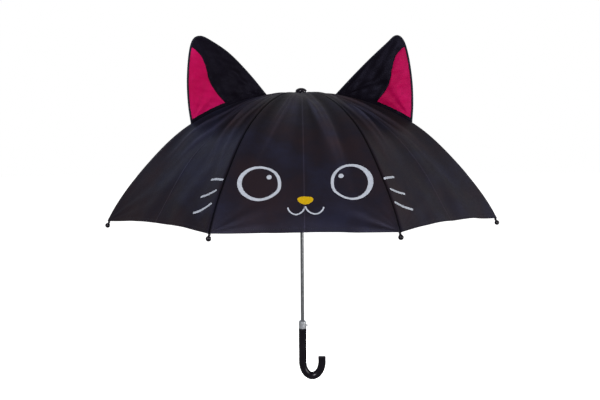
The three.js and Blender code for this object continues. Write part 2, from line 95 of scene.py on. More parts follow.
NOTCH = np.array([PIVOT_R, APEX_Z - 4.5 * MM])
JOINT = np.array([
    (RIB_ARC_R - LUG_DROP) * math.sin(LUG_ANGLE),
    ARC_Z + (RIB_ARC_R - LUG_DROP) * math.cos(LUG_ANGLE),
])
RUNNER = np.array([PIVOT_R, 2 * JOINT[1] - NOTCH[1]])
FLAT_ANGLE = math.asin(223 * MM / ARC_R)
RIB_FLAT = 4 * MM               # how much flatter than an arc a rib is below the ears


# ---- Mesh helpers ----

ON_AXIS = 1e-7


def unit(vector):
    """The vector at length 1."""
    return np.asarray(vector, float) / np.linalg.norm(vector)


def rib_axes(k):
    """Outward, up and hinge directions of rib k."""
    turn = (2 * k - 1) * HALF_PITCH
    out = np.array([math.sin(turn), -math.cos(turn), 0.0])
    up = np.array([0.0, 0.0, 1.0])
    return out, up, np.cross(out, up)


def in_rib_plane(k, points):
    """Points [outward, up, hinge] of rib k as points of the whole."""
    return np.asarray(points, float) @ np.array(rib_axes(k))


def flattened(angle):
    """How far a rib and its cloth lie inside the even arc, between the ears and the rib tips."""
    share = np.clip((angle - FLAT_ANGLE) / (TIP_ANGLE - FLAT_ANGLE), 0, 1)
    return RIB_FLAT * np.sin(math.pi * share) ** 2


def on_arc(angle, radius):
    """Points [outward, up] of an arc about the canopy's centre, flattened as the ribs are."""
    radius = radius - flattened(angle)
    return np.stack([radius * np.sin(angle), ARC_Z + radius * np.cos(angle)], -1)


def closed_faces(rows, columns, wrap_rows=False, wrap_columns=False):
    """Quads of a grid, numbered row by row."""
    def at(i, j):
        return i % rows * columns + j % columns

    return [
        (at(i, j), at(i, j + 1), at(i + 1, j + 1), at(i + 1, j))
        for i in range(rows if wrap_rows else rows - 1)
        for j in range(columns if wrap_columns else columns - 1)
    ]


def capped_faces(rows, columns):
    """Quads round a tube of rings, and a face over each end."""
    last = (rows - 1) * columns
    ends = [tuple(range(columns))[::-1], tuple(last + i for i in range(columns))]
    return closed_faces(rows, columns, wrap_columns=True) + ends


def add_object(name, data):
    thing = bpy.data.objects.new(name, data)
    bpy.context.scene.collection.objects.link(thing)
    return thing


def volume_of(points, faces):
    """Six times the volume inside, below 0 if the faces point inwards."""
    fans = np.array([(face[0], *pair) for face in faces for pair in zip(face[1:], face[2:])])
    a, b, c = (points[fans[:, i]] for i in range(3))
    return np.einsum("ij,ij->", a, np.cross(b, c))


def mesh_object(name, parts, material, uv=None, sharp=40):
    """One object from closed bodies (points, faces), whose faces are turned to point outwards."""
    points, faces = [], []
    for body_points, body_faces in parts:
        if volume_of(body_points - body_points.mean(0), body_faces) < 0:
            body_faces = [face[::-1] for face in body_faces]
        faces += [tuple(i + len(points) for i in face) for face in body_faces]
        points += body_points.tolist()
    mesh = bpy.data.meshes.new(name)
    mesh.from_pydata(points, [], faces)
    if uv is not None:
        corner = np.array([i for face in faces for i in face])
        layer = mesh.uv_layers.new(name="cloth")
        layer.data.foreach_set("uv", uv.reshape(-1, 2)[corner].ravel())
    mesh.shade_smooth()
    mesh.set_sharp_from_angle(angle=math.radians(sharp))
    mesh.materials.append(material)
    return add_object(name, mesh)


def skin(outer, inner, ring=False):
    """A closed sheet between two grids of points. In a ring, each row closes on itself."""
    rows, columns = outer.shape[:2]
    count = rows * columns
    last = count - columns
    faces = closed_faces(rows, columns, wrap_columns=ring)
    faces += [tuple(count + i for i in face[::-1]) for face in faces]
    if ring:
        rims = [[*range(columns)], [*range(last, count)][::-1]]
    else:
        rims = [[
            *range(columns), *range(2 * columns - 1, count, columns),
            *range(count - 2, last - 1, -1), *range(last - columns, 0, -columns),
        ]]
    for rim in rims:
        faces += [(b, a, count + a, count + b) for a, b in zip(rim, rim[1:] + rim[:1])]
    return np.concatenate([outer.reshape(-1, 3), inner.reshape(-1, 3)]), faces


def turned(profile, segments):
    """A solid of revolution about +Z from a closed outline of (radius, height) points.

    Points on the axis become one point each.
    """
    points, rings = [], []
    for radius, height in profile:
        count = segments if radius > ON_AXIS else 1
        rings.append([len(points) + i % count for i in range(segments)])
        for turn in np.arange(count) * 2 * math.pi / segments:
            points.append((radius * math.cos(turn), radius * math.sin(turn), height))
    if profile[0][0] > ON_AXIS or profile[-1][0] > ON_AXIS:
        rings.append(rings[0])
    faces = []
    for low, high in zip(rings, rings[1:]):
        for i in range(segments):
            j = (i + 1) % segments
            face = tuple(dict.fromkeys((low[i], low[j], high[j], high[i])))
            faces += [face] if len(face) > 2 else []
    return np.array(points), faces


def rounded(corners, radius):
    """A polyline of (radius, height) corners with its inner corners rounded."""
    line = [corners[0]]
    for before, corner, after in zip(*(np.array(corners, float)[i:] for i in range(3))):
        back, on = before - corner, after - corner
        reach = min(radius, 0.45 * np.linalg.norm(back), 0.45 * np.linalg.norm(on))
        start, end = corner + unit(back) * reach, corner + unit(on) * reach
        for t in np.linspace(0, 1, 5):
            line.append(tuple((1 - t) ** 2 * start + 2 * t * (1 - t) * corner + t * t * end))
    return line + [corners[-1]]


def directions(path):
    """Unit vectors along a path."""
    along = np.gradient(path, axis=0)
    return along / np.linalg.norm(along, axis=1)[:, None]


def bar(path, widths, heights, side_axis, sides=12):
    """A capped bar of oval section along a path. side_axis is square to the whole path."""
    path = np.asarray(path, float)
    along = directions(path)
    side = np.tile(unit(side_axis), (len(path), 1))
    over = np.cross(along, side)
    turn = np.arange(sides) * 2 * math.pi / sides
    widths = np.broadcast_to(widths, len(path))
    heights = np.broadcast_to(heights, len(path))
    rings = (
        path[:, None]
        + side[:, None] * (widths[:, None] * np.cos(turn))[..., None]
        + over[:, None] * (heights[:, None] * np.sin(turn))[..., None]
    )
    return rings.reshape(-1, 3), capped_faces(len(path), sides)


def prism(outline, low, high, bevel):
    """A bevelled plate in [x, y, z] from a convex outline of (x, y) points."""
    outline = np.asarray(outline, float)
    centre = outline.mean(0)
    away = outline - centre
    size = np.linalg.norm(away, axis=1)[:, None]
    rings = []
    for height, inset in ((low, bevel), (low + bevel, 0.0), (high - bevel, 0.0), (high, bevel)):
        ring = centre + away * (1 - inset / np.maximum(size, 1e-9))
        rings.append(np.column_stack([ring, np.full(len(ring), height)]))
    return np.concatenate(rings), capped_faces(len(rings), len(outline))


def arc(centre, radius, steps, start, sweep):
    """2-D points of a circle's arc."""
    turn = start + np.arange(steps + 1) * sweep / steps
    return np.array(centre) + radius * np.stack([np.cos(turn), np.sin(turn)], -1)


def spline(points, steps):
    """A Catmull-Rom curve through 2-D points, evenly spaced along its length."""
    points = np.asarray(points, float)
    padded = np.vstack([2 * points[0] - points[1], points, 2 * points[-1] - points[-2]])
    line = []
    for a, b, c, d in zip(padded, padded[1:], padded[2:], padded[3:]):
        for t in np.arange(0, 1, 1 / 24):
            line.append(0.5 * (
                2 * b + (c - a) * t + (2 * a - 5 * b + 4 * c - d) * t ** 2
                + (3 * b - a - 3 * c + d) * t ** 3
            ))
    line.append(points[-1])
    return even(np.array(line), steps)


def even(line, steps):
    """The same polyline with evenly spaced points."""
    length = np.concatenate([[0], np.cumsum(np.linalg.norm(np.diff(line, axis=0), axis=1))])
    at = np.linspace(0, length[-1], steps + 1)
    return np.stack([np.interp(at, length, line[:, i]) for i in range(line.shape[1])], -1)


def coons(left, right, low, high):
    """A patch between four 2-D edges: left and right run up, low and high run across."""
    u = np.linspace(0, 1, len(low))[None, :, None]
    t = np.linspace(0, 1, len(left))[:, None, None]
    ruled = (1 - u) * left[:, None] + u * right[:, None]
    crossed = (1 - t) * low[None] + t * high[None]
    corners = (
        (1 - u) * (1 - t) * low[0] + u * (1 - t) * low[-1]
        + (1 - u) * t * high[0] + u * t * high[-1]
    )
    return ruled + crossed - corners


def distance_to(points, line):
    """Distance of each 2-D point to a polyline."""
    closest = np.full(points.shape[:-1], np.inf)
    for start, step in zip(line, np.diff(line, axis=0)):
        t = np.clip((points - start) @ step / max(step @ step, 1e-18), 0, 1)
        away = points - start - t[..., None] * step
        closest = np.minimum(closest, np.linalg.norm(away, axis=-1))
    return closest


def attach(piece, body, slot, *replaced):
    """What the piece moves with, its material slot (not used), and the CAD node it stands for."""
    if replaced:
        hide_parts(*replaced)
    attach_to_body(piece, body)


# ---- Materials ----

def socket(tree, value, target):
    """Sets a shader socket to a constant, or links a node's output to it."""
    if isinstance(value, bpy.types.NodeSocket):
        tree.links.new(value, target)
    else:
        target.default_value = value


def node(tree, kind, operation=None, **inputs):
    """A shader node. Inputs go by name, or as i0, i1 where a node has no names of its own."""
    made = tree.nodes.new("ShaderNode" + kind)
    if operation:
        made.operation = operation
    for name, value in inputs.items():
        key = int(name[1:]) if name[0] == "i" and name[1:].isdigit() else name.replace("_", " ")
        socket(tree, value, made.inputs[key])
    return made


def material(name, **inputs):
    made = bpy.data.materials.new(name)
    made.use_nodes = True
    tree = made.node_tree
    shader = tree.nodes["Principled BSDF"]
    for key, value in inputs.items():
        socket(tree, value, shader.inputs[key.replace("_", " ")])
    return made, tree, shader


def noise(tree, scale, detail=3.0, roughness=0.5, stretch=None):
    at = node(tree, "TexCoord").outputs["Object"]
    if stretch:
        at = node(tree, "Mapping", Vector=at, Scale=stretch).outputs[0]
    return node(tree, "TexNoise", Vector=at, Scale=scale, Detail=detail, Roughness=roughness).outputs[0]


def between(tree, factor, low, high):
    """Low to high as the factor goes from 0 to 1."""
    return node(tree, "MapRange", Value=factor, To_Min=low, To_Max=high).outputs[0]


def narrowed(tree, factor, start, end):
    """0 to 1 as the factor goes from start to end."""
    return node(tree, "MapRange", Value=factor, From_Min=start, From_Max=end).outputs[0]


def colours(tree, factor, stops):
    """A colour ramp from (place, colour) stops."""
    ramp = tree.nodes.new("ShaderNodeValToRGB")
    tree.links.new(factor, ramp.inputs[0])
    elements = ramp.color_ramp.elements
    while len(elements) < len(stops):
        elements.new(0.5)
    for element, (at, colour) in zip(elements, stops):
        element.position = at
        element.color = (*colour, 1)
    return ramp.outputs[0]


def bumped(tree, shader, height, strength, distance, under=None):
    """Adds a bump to the shader, over an earlier one."""
    made = node(tree, "Bump", Height=height, Strength=strength, Distance=distance)
    if under is not None:
        tree.links.new(under, made.inputs["Normal"])
    tree.links.new(made.outputs[0], shader.inputs["Normal"])
    return made.outputs[0]


def paint(tree, shader, colour, roughness):
    socket(tree, colour, shader.inputs["Base Color"])
    socket(tree, roughness, shader.inputs["Roughness"])


def weave(tree, pitch):
    """Height of a plain weave in the cloth's own coordinates, in metres."""
    split = node(tree, "SeparateXYZ", Vector=node(tree, "UVMap").outputs[0])
    waves = []
    for axis in (0, 1):
        turn = node(tree, "Math", "MULTIPLY", i0=split.outputs[axis], i1=math.pi / pitch)
        waves.append(node(tree, "Math", "SINE", i0=turn.outputs[0]).outputs[0])
    return node(tree, "Math", "MULTIPLY", i0=waves[0], i1=waves[1]).outputs[0]


PAINTED_SHADE_LAYER = "seam"             # painted shade on the cloth at each point of a mesh, and below 0 painted highlight


def cloth_material(name, stops, pitch, roughness, crumple, specular, sheen=0.0):
    """Woven cloth: cloudy dyed colour, worn and crumpled patches, a plain weave of one thread pitch, and
    shade and highlight painted into its colour from a mesh layer.
    """
    made, tree, shader = material(
        name, Sheen_Weight=sheen, Sheen_Roughness=0.45, Sheen_Tint=(0.6, 0.6, 0.8, 1),
        Specular_Tint=(0.65, 0.65, 1.0, 1),
    )
    tone = noise(tree, 9.0, 5.0, 0.6)
    dye_and_painted_shade = colours(tree, narrowed(tree, tone, 0.36, 0.64), stops)
    # Painted shade: in a seam or a valley the colour and the gloss are turned down, and on a ridge or
    # along the crease they are turned up as a painted highlight.
    seam = tree.nodes.new("ShaderNodeAttribute")
    seam.attribute_name = PAINTED_SHADE_LAYER
    shade = node(tree, "Math", "MULTIPLY_ADD", i0=seam.outputs["Fac"], i1=-0.8, i2=1.0).outputs[0]
    dye_and_painted_shade = node(tree, "VectorMath", "SCALE", i0=dye_and_painted_shade, Scale=shade).outputs[0]
    gloss = node(tree, "Math", "MULTIPLY", i0=shade, i1=specular).outputs[0]
    socket(tree, gloss, shader.inputs["Specular IOR Level"])
    worn = noise(tree, 60.0, 4.0, 0.6)
    paint(tree, shader, dye_and_painted_shade, between(tree, worn, roughness - 0.06, roughness + 0.06))
    low = bumped(tree, shader, noise(tree, 34.0, 4.0, 0.55), crumple, 1.2 * MM)
    bumped(tree, shader, weave(tree, pitch), 0.35, 0.06 * MM, low)
    return made


def plastic_material(name, colour, roughness, grain, specular=0.5):
    """Moulded plastic: slightly mottled, smudged and grained."""
    made, tree, shader = material(name, Specular_IOR_Level=specular)
    lighter = tuple(1.5 * c + 0.002 for c in colour)
    tone = colours(tree, noise(tree, 45.0), [(0.3, colour), (0.75, lighter)])
    smudge = noise(tree, 90.0, 5.0, 0.65)
    paint(tree, shader, tone, between(tree, smudge, 0.7 * roughness, 1.5 * roughness))
    bumped(tree, shader, noise(tree, grain, 3.0), 0.25, 0.08 * MM)
    return made


def metal_material(name, dark, light, roughness, stretch=None, mottle=900.0, metallic=1.0):
    """Metal with a grain that can be drawn out along the piece, and duller patches."""
    made, tree, shader = material(name, Metallic=metallic)
    grain = noise(tree, mottle, 4.0, 0.6, stretch=stretch)
    patches = noise(tree, 120.0, 4.0, 0.6)
    both = node(tree, "Math", "ADD", i0=grain, i1=patches).outputs[0]
    tone = colours(tree, narrowed(tree, both, 0.75, 1.25), [(0.0, dark), (1.0, light)])
    paint(tree, shader, tone, between(tree, grain, 0.75 * roughness, 1.3 * roughness))
    bumped(tree, shader, grain, 0.15, 0.03 * MM)
    return made


CANOPY = cloth_material(
    "canopy_cloth",
    [(0.0, (0.0112, 0.0070, 0.0084)), (0.5, (0.0076, 0.0062, 0.0094)), (1.0, (0.0090, 0.0090, 0.0175))],
    pitch=0.45 * MM, roughness=0.44, crumple=0.5, specular=0.12,
)
EAR_BLACK = cloth_material(
    "ear_cloth",
    [(0.0, (0.0018, 0.0012, 0.0022)), (1.0, (0.0034, 0.0026, 0.0050))],
    pitch=0.45 * MM, roughness=0.45, crumple=0.7, specular=0.05,
)
EAR_PINK = cloth_material(
    "ear_lining_cloth",
    [(0.0, (0.24, 0.001, 0.034)), (0.5, (0.30, 0.002, 0.050)), (1.0, (0.35, 0.004, 0.068))],
    pitch=0.4 * MM, roughness=0.5, crumple=0.5, specular=0.04,
)
BINDING = cloth_material(
    "black_binding",
    [(0.0, (0.003, 0.003, 0.004)), (1.0, (0.007, 0.007, 0.010))],
    pitch=0.6 * MM, roughness=0.5, crumple=0.2, specular=0.12, sheen=0.01,
)


def ink_material(name, dark, light):
    """Screen-printing ink: matt, speckled and a little rough."""
    made, tree, shader = material(name, Specular_IOR_Level=0.1)
    tone = colours(tree, noise(tree, 260.0, 5.0, 0.7), [(0.3, dark), (0.6, light)])
    paint(tree, shader, tone, between(tree, noise(tree, 500.0), 0.5, 0.7))
    bumped(tree, shader, noise(tree, 1500.0, 2.0), 0.3, 0.05 * MM)
    return made


INK_GREY = ink_material("print_grey", (0.25, 0.275, 0.31), (0.32, 0.345, 0.385))
INK_YELLOW = ink_material("print_yellow", (0.31, 0.195, 0.0005), (0.38, 0.24, 0.001))
THREAD = plastic_material("black_thread", (0.006, 0.006, 0.009), 0.6, 2500.0)
STEEL = metal_material(
    "shaft_steel", (0.17, 0.18, 0.19), (0.32, 0.33, 0.345), 0.34, (1.0, 1.0, 0.03), 1500.0
)
RIB_STEEL = metal_material(
    "blackened_steel", (0.05, 0.05, 0.055), (0.13, 0.13, 0.14), 0.35, (1.0, 1.0, 0.2), 700.0
)
SPRING_STEEL = metal_material("spring_steel", (0.30, 0.29, 0.27), (0.50, 0.49, 0.47), 0.3)
COLLAR_METAL = metal_material(
    "collar_metal", (0.12, 0.125, 0.135), (0.66, 0.69, 0.73), 0.38, None, 650.0, 0.85
)
GLOSS = plastic_material("gloss_black", (0.003, 0.002, 0.004), 0.14, 300.0, 0.2)
MATT = plastic_material("matt_black", (0.012, 0.012, 0.014), 0.45, 1800.0)


# ---- The canopy's surface ----

RANDOM = np.random.default_rng(7)
APEX_FOLDS = [(n, RANDOM.uniform(0, 2 * math.pi), RANDOM.uniform(0.5, 1.0)) for n in (17, 23, 31, 41)]
PULL_FOLDS = [
    [
        {
            "start": side * RANDOM.uniform(0.12, 0.6),
            "drift": side * RANDOM.uniform(0.1, 0.9),
            "width": RANDOM.uniform(2.5, 6) * MM,
            "middle": RANDOM.uniform(0.25, 0.5),
            "reach": RANDOM.uniform(0.14, 0.3),
            "height": RANDOM.uniform(1.2, 2.8) * MM,
        }
        for side in (-1, 1) * 4
    ]
    for _ in range(RIB_COUNT)
]
CORNER_FOLDS = RANDOM.uniform(0, 2 * math.pi, (RIB_COUNT, 2, 3))
RIPPLE_SLOPE = 0.045
RIPPLES = [
    (
        2 * math.pi / (RANDOM.uniform(35, 140) * MM),
        RANDOM.uniform(-0.9, 0.9),
        RANDOM.uniform(0, 2 * math.pi, RIB_COUNT),
    )
    for _ in range(9)
]
FAN_HEIGHT = 0.007              # of the folds round the cap, against their radius
FAN_REACH = 0.42                # share of the way to the hem at which they fade
SEAM_DEPTH = 1.2 * MM
SEAM_WIDTH = 2.2 * MM
PUCKER = 1.5 * MM               # the cloth swells beside a seam
PUCKER_REACH = 6 * MM
CREASE = 0.45 * MM              # ridge down the middle of a panel
CREASE_WIDTH = 1.2 * MM
CORNER_FOLD = 1.5 * MM
CORNER_REACH = 42 * MM


def bell(distance, width):
    """1 at no distance, falling softly to nothing over about twice the width."""
    return np.exp(-(distance / width) ** 2)


def swell(distance, reach):
    """Rises from 0 to 1 at reach and fades beyond it."""
    return distance / reach * np.exp(1 - distance / reach)


def spread_from_cap(r):
    """Rises softly from 0 under the cap to 1 where the cloth lies free."""
    spread = np.clip((r - 12 * MM) / (50 * MM), 0, 1)
    return spread * spread * (3 - 2 * spread)


def half_width(angle):
    """Half the width of a panel at an angle down from the apex."""
    return ARC_R * np.sin(angle) * math.sin(HALF_PITCH)


def folds(panel, v, angle):
    """Height of the folds that run down from the cap."""
    r, half = ARC_R * np.sin(angle), half_width(angle)
    azimuth = panel * 2 * HALF_PITCH + np.arctan(v * math.tan(HALF_PITCH))
    along = (angle - FIRST_ANGLE) / (HEM_ANGLE - FIRST_ANGLE)
    fan = sum(size * np.sin(n * azimuth + phase) for n, phase, size in APEX_FOLDS)
    height = FAN_HEIGHT * r * fan * bell(along, FAN_REACH)
    # Long soft folds where the cloth is pulled from the cap towards the hem.
    for fold in PULL_FOLDS[panel]:
        centre = fold["start"] + fold["drift"] * (along - fold["middle"])
        ridge = bell((v - centre) * half, fold["width"])
        height += fold["height"] * ridge * bell(along - fold["middle"], fold["reach"])
    return height * spread_from_cap(r) * (1 - v * v) ** 0.5


def relief(panel, v, angle):
    """Height of seams, creases and wrinkles above the panel's even surface."""
    half = half_width(angle)
    up = (HEM_ANGLE - angle) * ARC_R
    away = (1 - np.abs(v)) * half
    inner = 1 - v * v

    height = -SEAM_DEPTH * bell(away, SEAM_WIDTH)
    height += PUCKER * swell(away, PUCKER_REACH)
    height += CREASE * bell(v * half, CREASE_WIDTH)
    height *= spread_from_cap(ARC_R * np.sin(angle))

    height += folds(panel, v, angle)
    for side, sign in enumerate((-1, 1)):
        across = (1 - sign * v) * half
        # Folds that spread from the rib tip.
        reach, turn = np.hypot(across, up), np.arctan2(across, up)
        phase = CORNER_FOLDS[panel, side]
        rays = 0.6 * np.sin(9 * turn + phase[0]) + 0.45 * np.sin(16 * turn + phase[1])
        height += CORNER_FOLD * rays * swell(reach, CORNER_REACH) * np.sin(turn) ** 2 * inner ** 0.3

    for rate, slant, phases in RIPPLES:
        wave = np.sin(rate * (v * half * math.cos(slant) + up * math.sin(slant)) + phases[panel])
        height += RIPPLE_SLOPE * wave / rate * inner
    return height


def panel_axes(panel):
    """Outward and sideways directions of a panel's middle."""
    cos, sin = math.cos(panel * 2 * HALF_PITCH), math.sin(panel * 2 * HALF_PITCH)
    return np.array([sin, -cos, 0.0]), np.array([cos, sin, 0.0])


def surface(panel, v, angle, s, lift):
    """Points of a panel: v runs from -1 at its first rib to 1 at its second, s from 0 to the hem."""
    sag = SAG * (1 - v * v) * np.sin(math.pi * s)
    radius = ARC_R - flattened(angle) - sag + relief(panel, v, angle) + lift
    r = radius * np.sin(angle)
    out, along = panel_axes(panel)
    places = out * (r * math.cos(HALF_PITCH))[..., None]
    places += along * (r * math.sin(HALF_PITCH) * v)[..., None]
    places[..., 2] = ARC_Z + radius * np.cos(angle)
    return places


def hem_angle(panel, v):
    """The hem is curved up between the ribs, hardly at all in front."""
    rise = FRONT_HEM_RISE if panel == 0 else HEM_RISE
    return HEM_ANGLE - rise * (1 - v * v) / ARC_R


def cloth(panel, v, s, lift):
    """The canopy's outer face: s runs from the hole at the apex to the hem."""
    angle = FIRST_ANGLE + (hem_angle(panel, v) - FIRST_ANGLE) * s
    return surface(panel, v, angle, s, lift)


def on_cloth(panel, x, up, lift):
    """The same face by flat measures: x from the panel's middle, up from the rib tips."""
    angle = TIP_ANGLE - up / ARC_R
    v = x / half_width(angle)
    s = (angle - FIRST_ANGLE) / (hem_angle(panel, v) - FIRST_ANGLE)
    return surface(panel, v, angle, s, lift)


# ---- Half panels, hems and stitches ----


def fold_flat(piece, k, lift=0.0, keep=0.01):
    """Gives the piece a mesh of its own; rib k is not used."""
    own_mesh(piece)


HEM_WIDTH = 7 * MM
STITCH_UP = HEM_WIDTH - 1 * MM
CLOTH = 0.4 * MM
HEM_OUTSIDE = 0.1 * MM          # how much thicker the hem is on each face
HEM_INSIDE = 0.5 * MM
PRINT_CLEAR = 0.35 * MM         # the ink's lift for fold_flat, which does not use it


def graded(count):
    """0 to 1 in steps that are finer at both ends."""
    t = np.linspace(0, 1, count + 1)
    return t - 0.85 / (2 * math.pi) * np.sin(2 * math.pi * t)


def painted_shade_and_highlight(panel, v, angle):
    """Painted shade on the cloth: 1 deep in a seam, above 0 in the valleys of the folds, below 0 as
    painted highlight on their ridges and along the crease.
    """
    half = half_width(angle)
    away = (1 - np.abs(v)) * half
    shade = bell(away, SEAM_WIDTH) - bell(v * half, 1.0 * MM)
    shade -= np.clip(folds(panel, v, angle) / (2.0 * MM), -1.0, 1.0) * (1 - bell(away, 3 * SEAM_WIDTH))
    return np.clip(shade, -1.2, 1.0)


def half_panel(k, name, panel, sign, ink):
    """The cloth between a rib and a crease, with its hem, its stitches and its share of the print."""
    columns, rows = (64, 190) if ink else (44, 120)
    columns = 1 - graded(columns)
    rows = np.concatenate([np.linspace(0, 0.965, rows), np.linspace(0.968, 1, 14)])
    s, v = np.meshgrid(rows, sign * columns, indexing="ij")
    angle = FIRST_ANGLE + (HEM_ANGLE - FIRST_ANGLE) * s
    from_hem = (1 - s) * CLOTH_LENGTH
    # The hem is turned in and stitched, so it is thicker and dips along the stitches.
    turned_in = np.clip((HEM_WIDTH - from_hem) / (1 * MM), 0, 1)
    stitched = -0.16 * MM * bell(from_hem - STITCH_UP, 0.9 * MM)
    outer = cloth(panel, v, s, stitched + HEM_OUTSIDE * turned_in)
    inner = cloth(panel, v, s, stitched - CLOTH - HEM_INSIDE * turned_in)
    flat = np.stack([v * half_width(angle), from_hem], -1)
    piece = mesh_object(
        f"canopy_cloth_{name}", [skin(outer, inner)], CANOPY, np.concatenate([flat, flat])
    )
    # The cloth's painted shade and painted highlight, kept in a mesh layer.
    layer = piece.data.attributes.new(PAINTED_SHADE_LAYER, "FLOAT", "POINT")
    layer.data.foreach_set("value", np.tile(painted_shade_and_highlight(panel, v, angle).ravel(), 2).astype(np.float32))
    stitches = hem_stitches(f"hem_stitches_{name}", panel, sign)
    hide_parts(f"canopy_{name}")
    for part, lift in [(piece, 0.0), (stitches, 0.05 * MM)] + [(p, PRINT_CLEAR) for p in ink]:
        attach(part, f"canopy_{name}", "canopy_fabric")
        fold_flat(part, k, lift)


def hem_stitches(name, panel, sign):
    """A row of short raised threads above the hem."""
    pitch, stitch, thread = 3.4 * MM, 2.4 * MM, 0.22 * MM
    s = 1 - STITCH_UP / CLOTH_LENGTH
    t = np.linspace(-0.5, 0.5, 5)
    lift = 0.12 * MM * np.cos(math.pi * t) - 0.12 * MM
    thin = thread * np.array([0.3, 1, 1, 1, 0.3])
    parts = []
    for n in range(1, int(HALF_WIDTH / pitch)):
        v = sign * (n * pitch + t * stitch) / HALF_WIDTH
        path = cloth(panel, v, np.full(5, s), lift)
        parts.append(bar(path, thin, thin, np.cross(path[-1] - path[0], [0, 0, 1]), 5))
    return mesh_object(name, parts, THREAD)


# ---- The printed face ----

PRINT_LIFT = 0.12 * MM
PRINT_THICK = 0.18 * MM
PRINT_SHIFT = 1.5 * MM          # the eyes and the nose sit this far to the right of the crease
PRINT_TURN = math.radians(0.8)  # and the eyes are turned this little
PRINT_CENTRE_UP = 80 * MM
INK_WIDTH = {"mouth": 2.3 * MM, "whisker": 4.3 * MM}

# The design, in millimetres from the crease and above the rib tips.
EYES = {
    # Outer and inner outline: middle across, middle up, half width, half height.
    "left": [(-72.1, 98.1, 34.4, 34.5), (-71.2, 98.3, 28.3, 29.7)],
    "right": [(74.6, 98.2, 33.2, 35.4), (73.0, 97.5, 26.7, 31.1)],
}
GLINTS = {"left": (-56.4, 109.7), "right": (58.1, 109.9)}
GLINT_RADII = (4.1, 4.5)
NOSE = {
    # From the middle of the top edge round to the lowest point.
    "left": [
        (0, 70.6), (-6, 70.4), (-10.2, 68.9), (-12.2, 65.6),
        (-11, 61.8), (-7.4, 58.4), (-3, 56.2), (0.6, 55.6),
    ],
    "right": [
        (0, 70.6), (5, 70.4), (9.8, 69.2), (12.4, 66.2),
        (11.6, 62.4), (8.2, 58.8), (4, 56.4), (0.6, 55.6),
    ],
}
MOUTH = [
    (-28.6, 51.2), (-26.2, 45.0), (-21.6, 40.2), (-15.6, 38.0),
    (-9.5, 39.4), (-4.6, 43.2), (-1.2, 48.4), (-0.4, 52.5),
]
WHISKERS = {
    "left": [
        ((87.4, 103.7), (105.0, 103.4), (122.4, 101.5)),
        ((86.1, 68.5), (103.0, 73.6), (120.8, 81.6)),
        ((88.2, 37.9), (107.0, 46.2), (124.6, 57.3)),
    ],
    "right": [
        ((-123.5, 102.0), (-108.0, 104.6), (-92.0, 106.5)),
        ((-124.0, 82.0), (-108.0, 76.2), (-89.0, 71.7)),
        ((-130.0, 57.6), (-112.0, 48.4), (-90.6, 41.6)),
    ],
}


def printed(x, up):
    """A place in the design as a place on the cloth."""
    up = up - PRINT_CENTRE_UP
    cos, sin = math.cos(PRINT_TURN), math.sin(PRINT_TURN)
    return PRINT_SHIFT + x * cos - up * sin, PRINT_CENTRE_UP + x * sin + up * cos


def ink_patch(name, panel, x, up, ink):
    """A thin layer of ink on the cloth over a grid of places."""
    top = on_cloth(panel, x, up, PRINT_LIFT)
    under = on_cloth(panel, x, up, PRINT_LIFT - PRINT_THICK)
    return mesh_object(name, [skin(top, under)], ink)


def ink_stroke(name, panel, line, width, limits=(-1.0, 1.0)):
    """A brush stroke along flat points, with rounded ends and slightly uneven edges."""
    steps = max(12, int(np.linalg.norm(np.diff(line, axis=0), axis=1).sum() / (0.9 * MM)))
    path = even(line, steps)
    along = directions(path)
    across = np.stack([-along[:, 1], along[:, 0]], -1)
    run = np.linalg.norm(path - path[0], axis=1)
    back = np.linalg.norm(path - path[-1], axis=1)
    half = width / 2
    end = np.sqrt(np.clip(1 - (1 - np.clip(np.minimum(run, back) / half, 0, 1)) ** 2, 0.03, 1))
    n = np.arange(len(path))
    reach = half * end * (1 + 0.07 * np.sin(0.9 * n) + 0.04 * np.sin(2.3 * n))
    places = path[:, None] + across[:, None] * (reach[:, None] * np.linspace(-1, 1, 5))[..., None]
    return ink_patch(name, panel, np.clip(places[..., 0], *limits), places[..., 1], INK_GREY)


def eye_ring(name, word):
    """A round outline whose outer side is heavier, and which is a little pointed inside."""
    side = -1 if word == "left" else 1
    turn = np.linspace(0, 2 * math.pi, 145)
    # The outline runs to a soft corner low on the side next to the nose.
    away = turn - (math.pi / 2 + side * (math.pi / 2 + 0.42))
    corner = np.exp(-(np.angle(np.exp(1j * away)) / 0.33) ** 2)
    lines = []
    for x, up, wide, high in EYES[word]:
        lines.append(np.stack([
            x + wide * np.cos(turn) - side * 1.1 * corner,
            up + high * np.sin(turn) - 0.8 * corner,
        ]) * MM)
    share = np.linspace(0, 1, 6)[:, None]
    x, up = (outer * share + inner * (1 - share) for outer, inner in zip(*lines))
    return ink_patch(name, 0, *printed(x, up), INK_GREY)


def glint(name, centre):
    turn = np.linspace(0, 2 * math.pi, 41)
    share = np.linspace(0.02, 1, 6)[:, None] * MM
    x = centre[0] * MM + GLINT_RADII[0] * share * np.cos(turn)
    up = centre[1] * MM + GLINT_RADII[1] * share * np.sin(turn)
    return ink_patch(name, 0, *printed(x, up), INK_GREY)


def nose_half(name, word):
    """Half of a rounded triangle, cut at the crease."""
    side = -1 if word == "left" else 1
    edge = spline(np.array(NOSE[word]) * MM, 40) + [PRINT_SHIFT, 0]
    edge[:, 0] = np.where(side * edge[:, 0] > 0, edge[:, 0], 0)
    share = np.linspace(0, 1, 9)
    return ink_patch(name, 0, edge[:, :1] * share, np.tile(edge[:, 1:], (1, len(share))), INK_YELLOW)


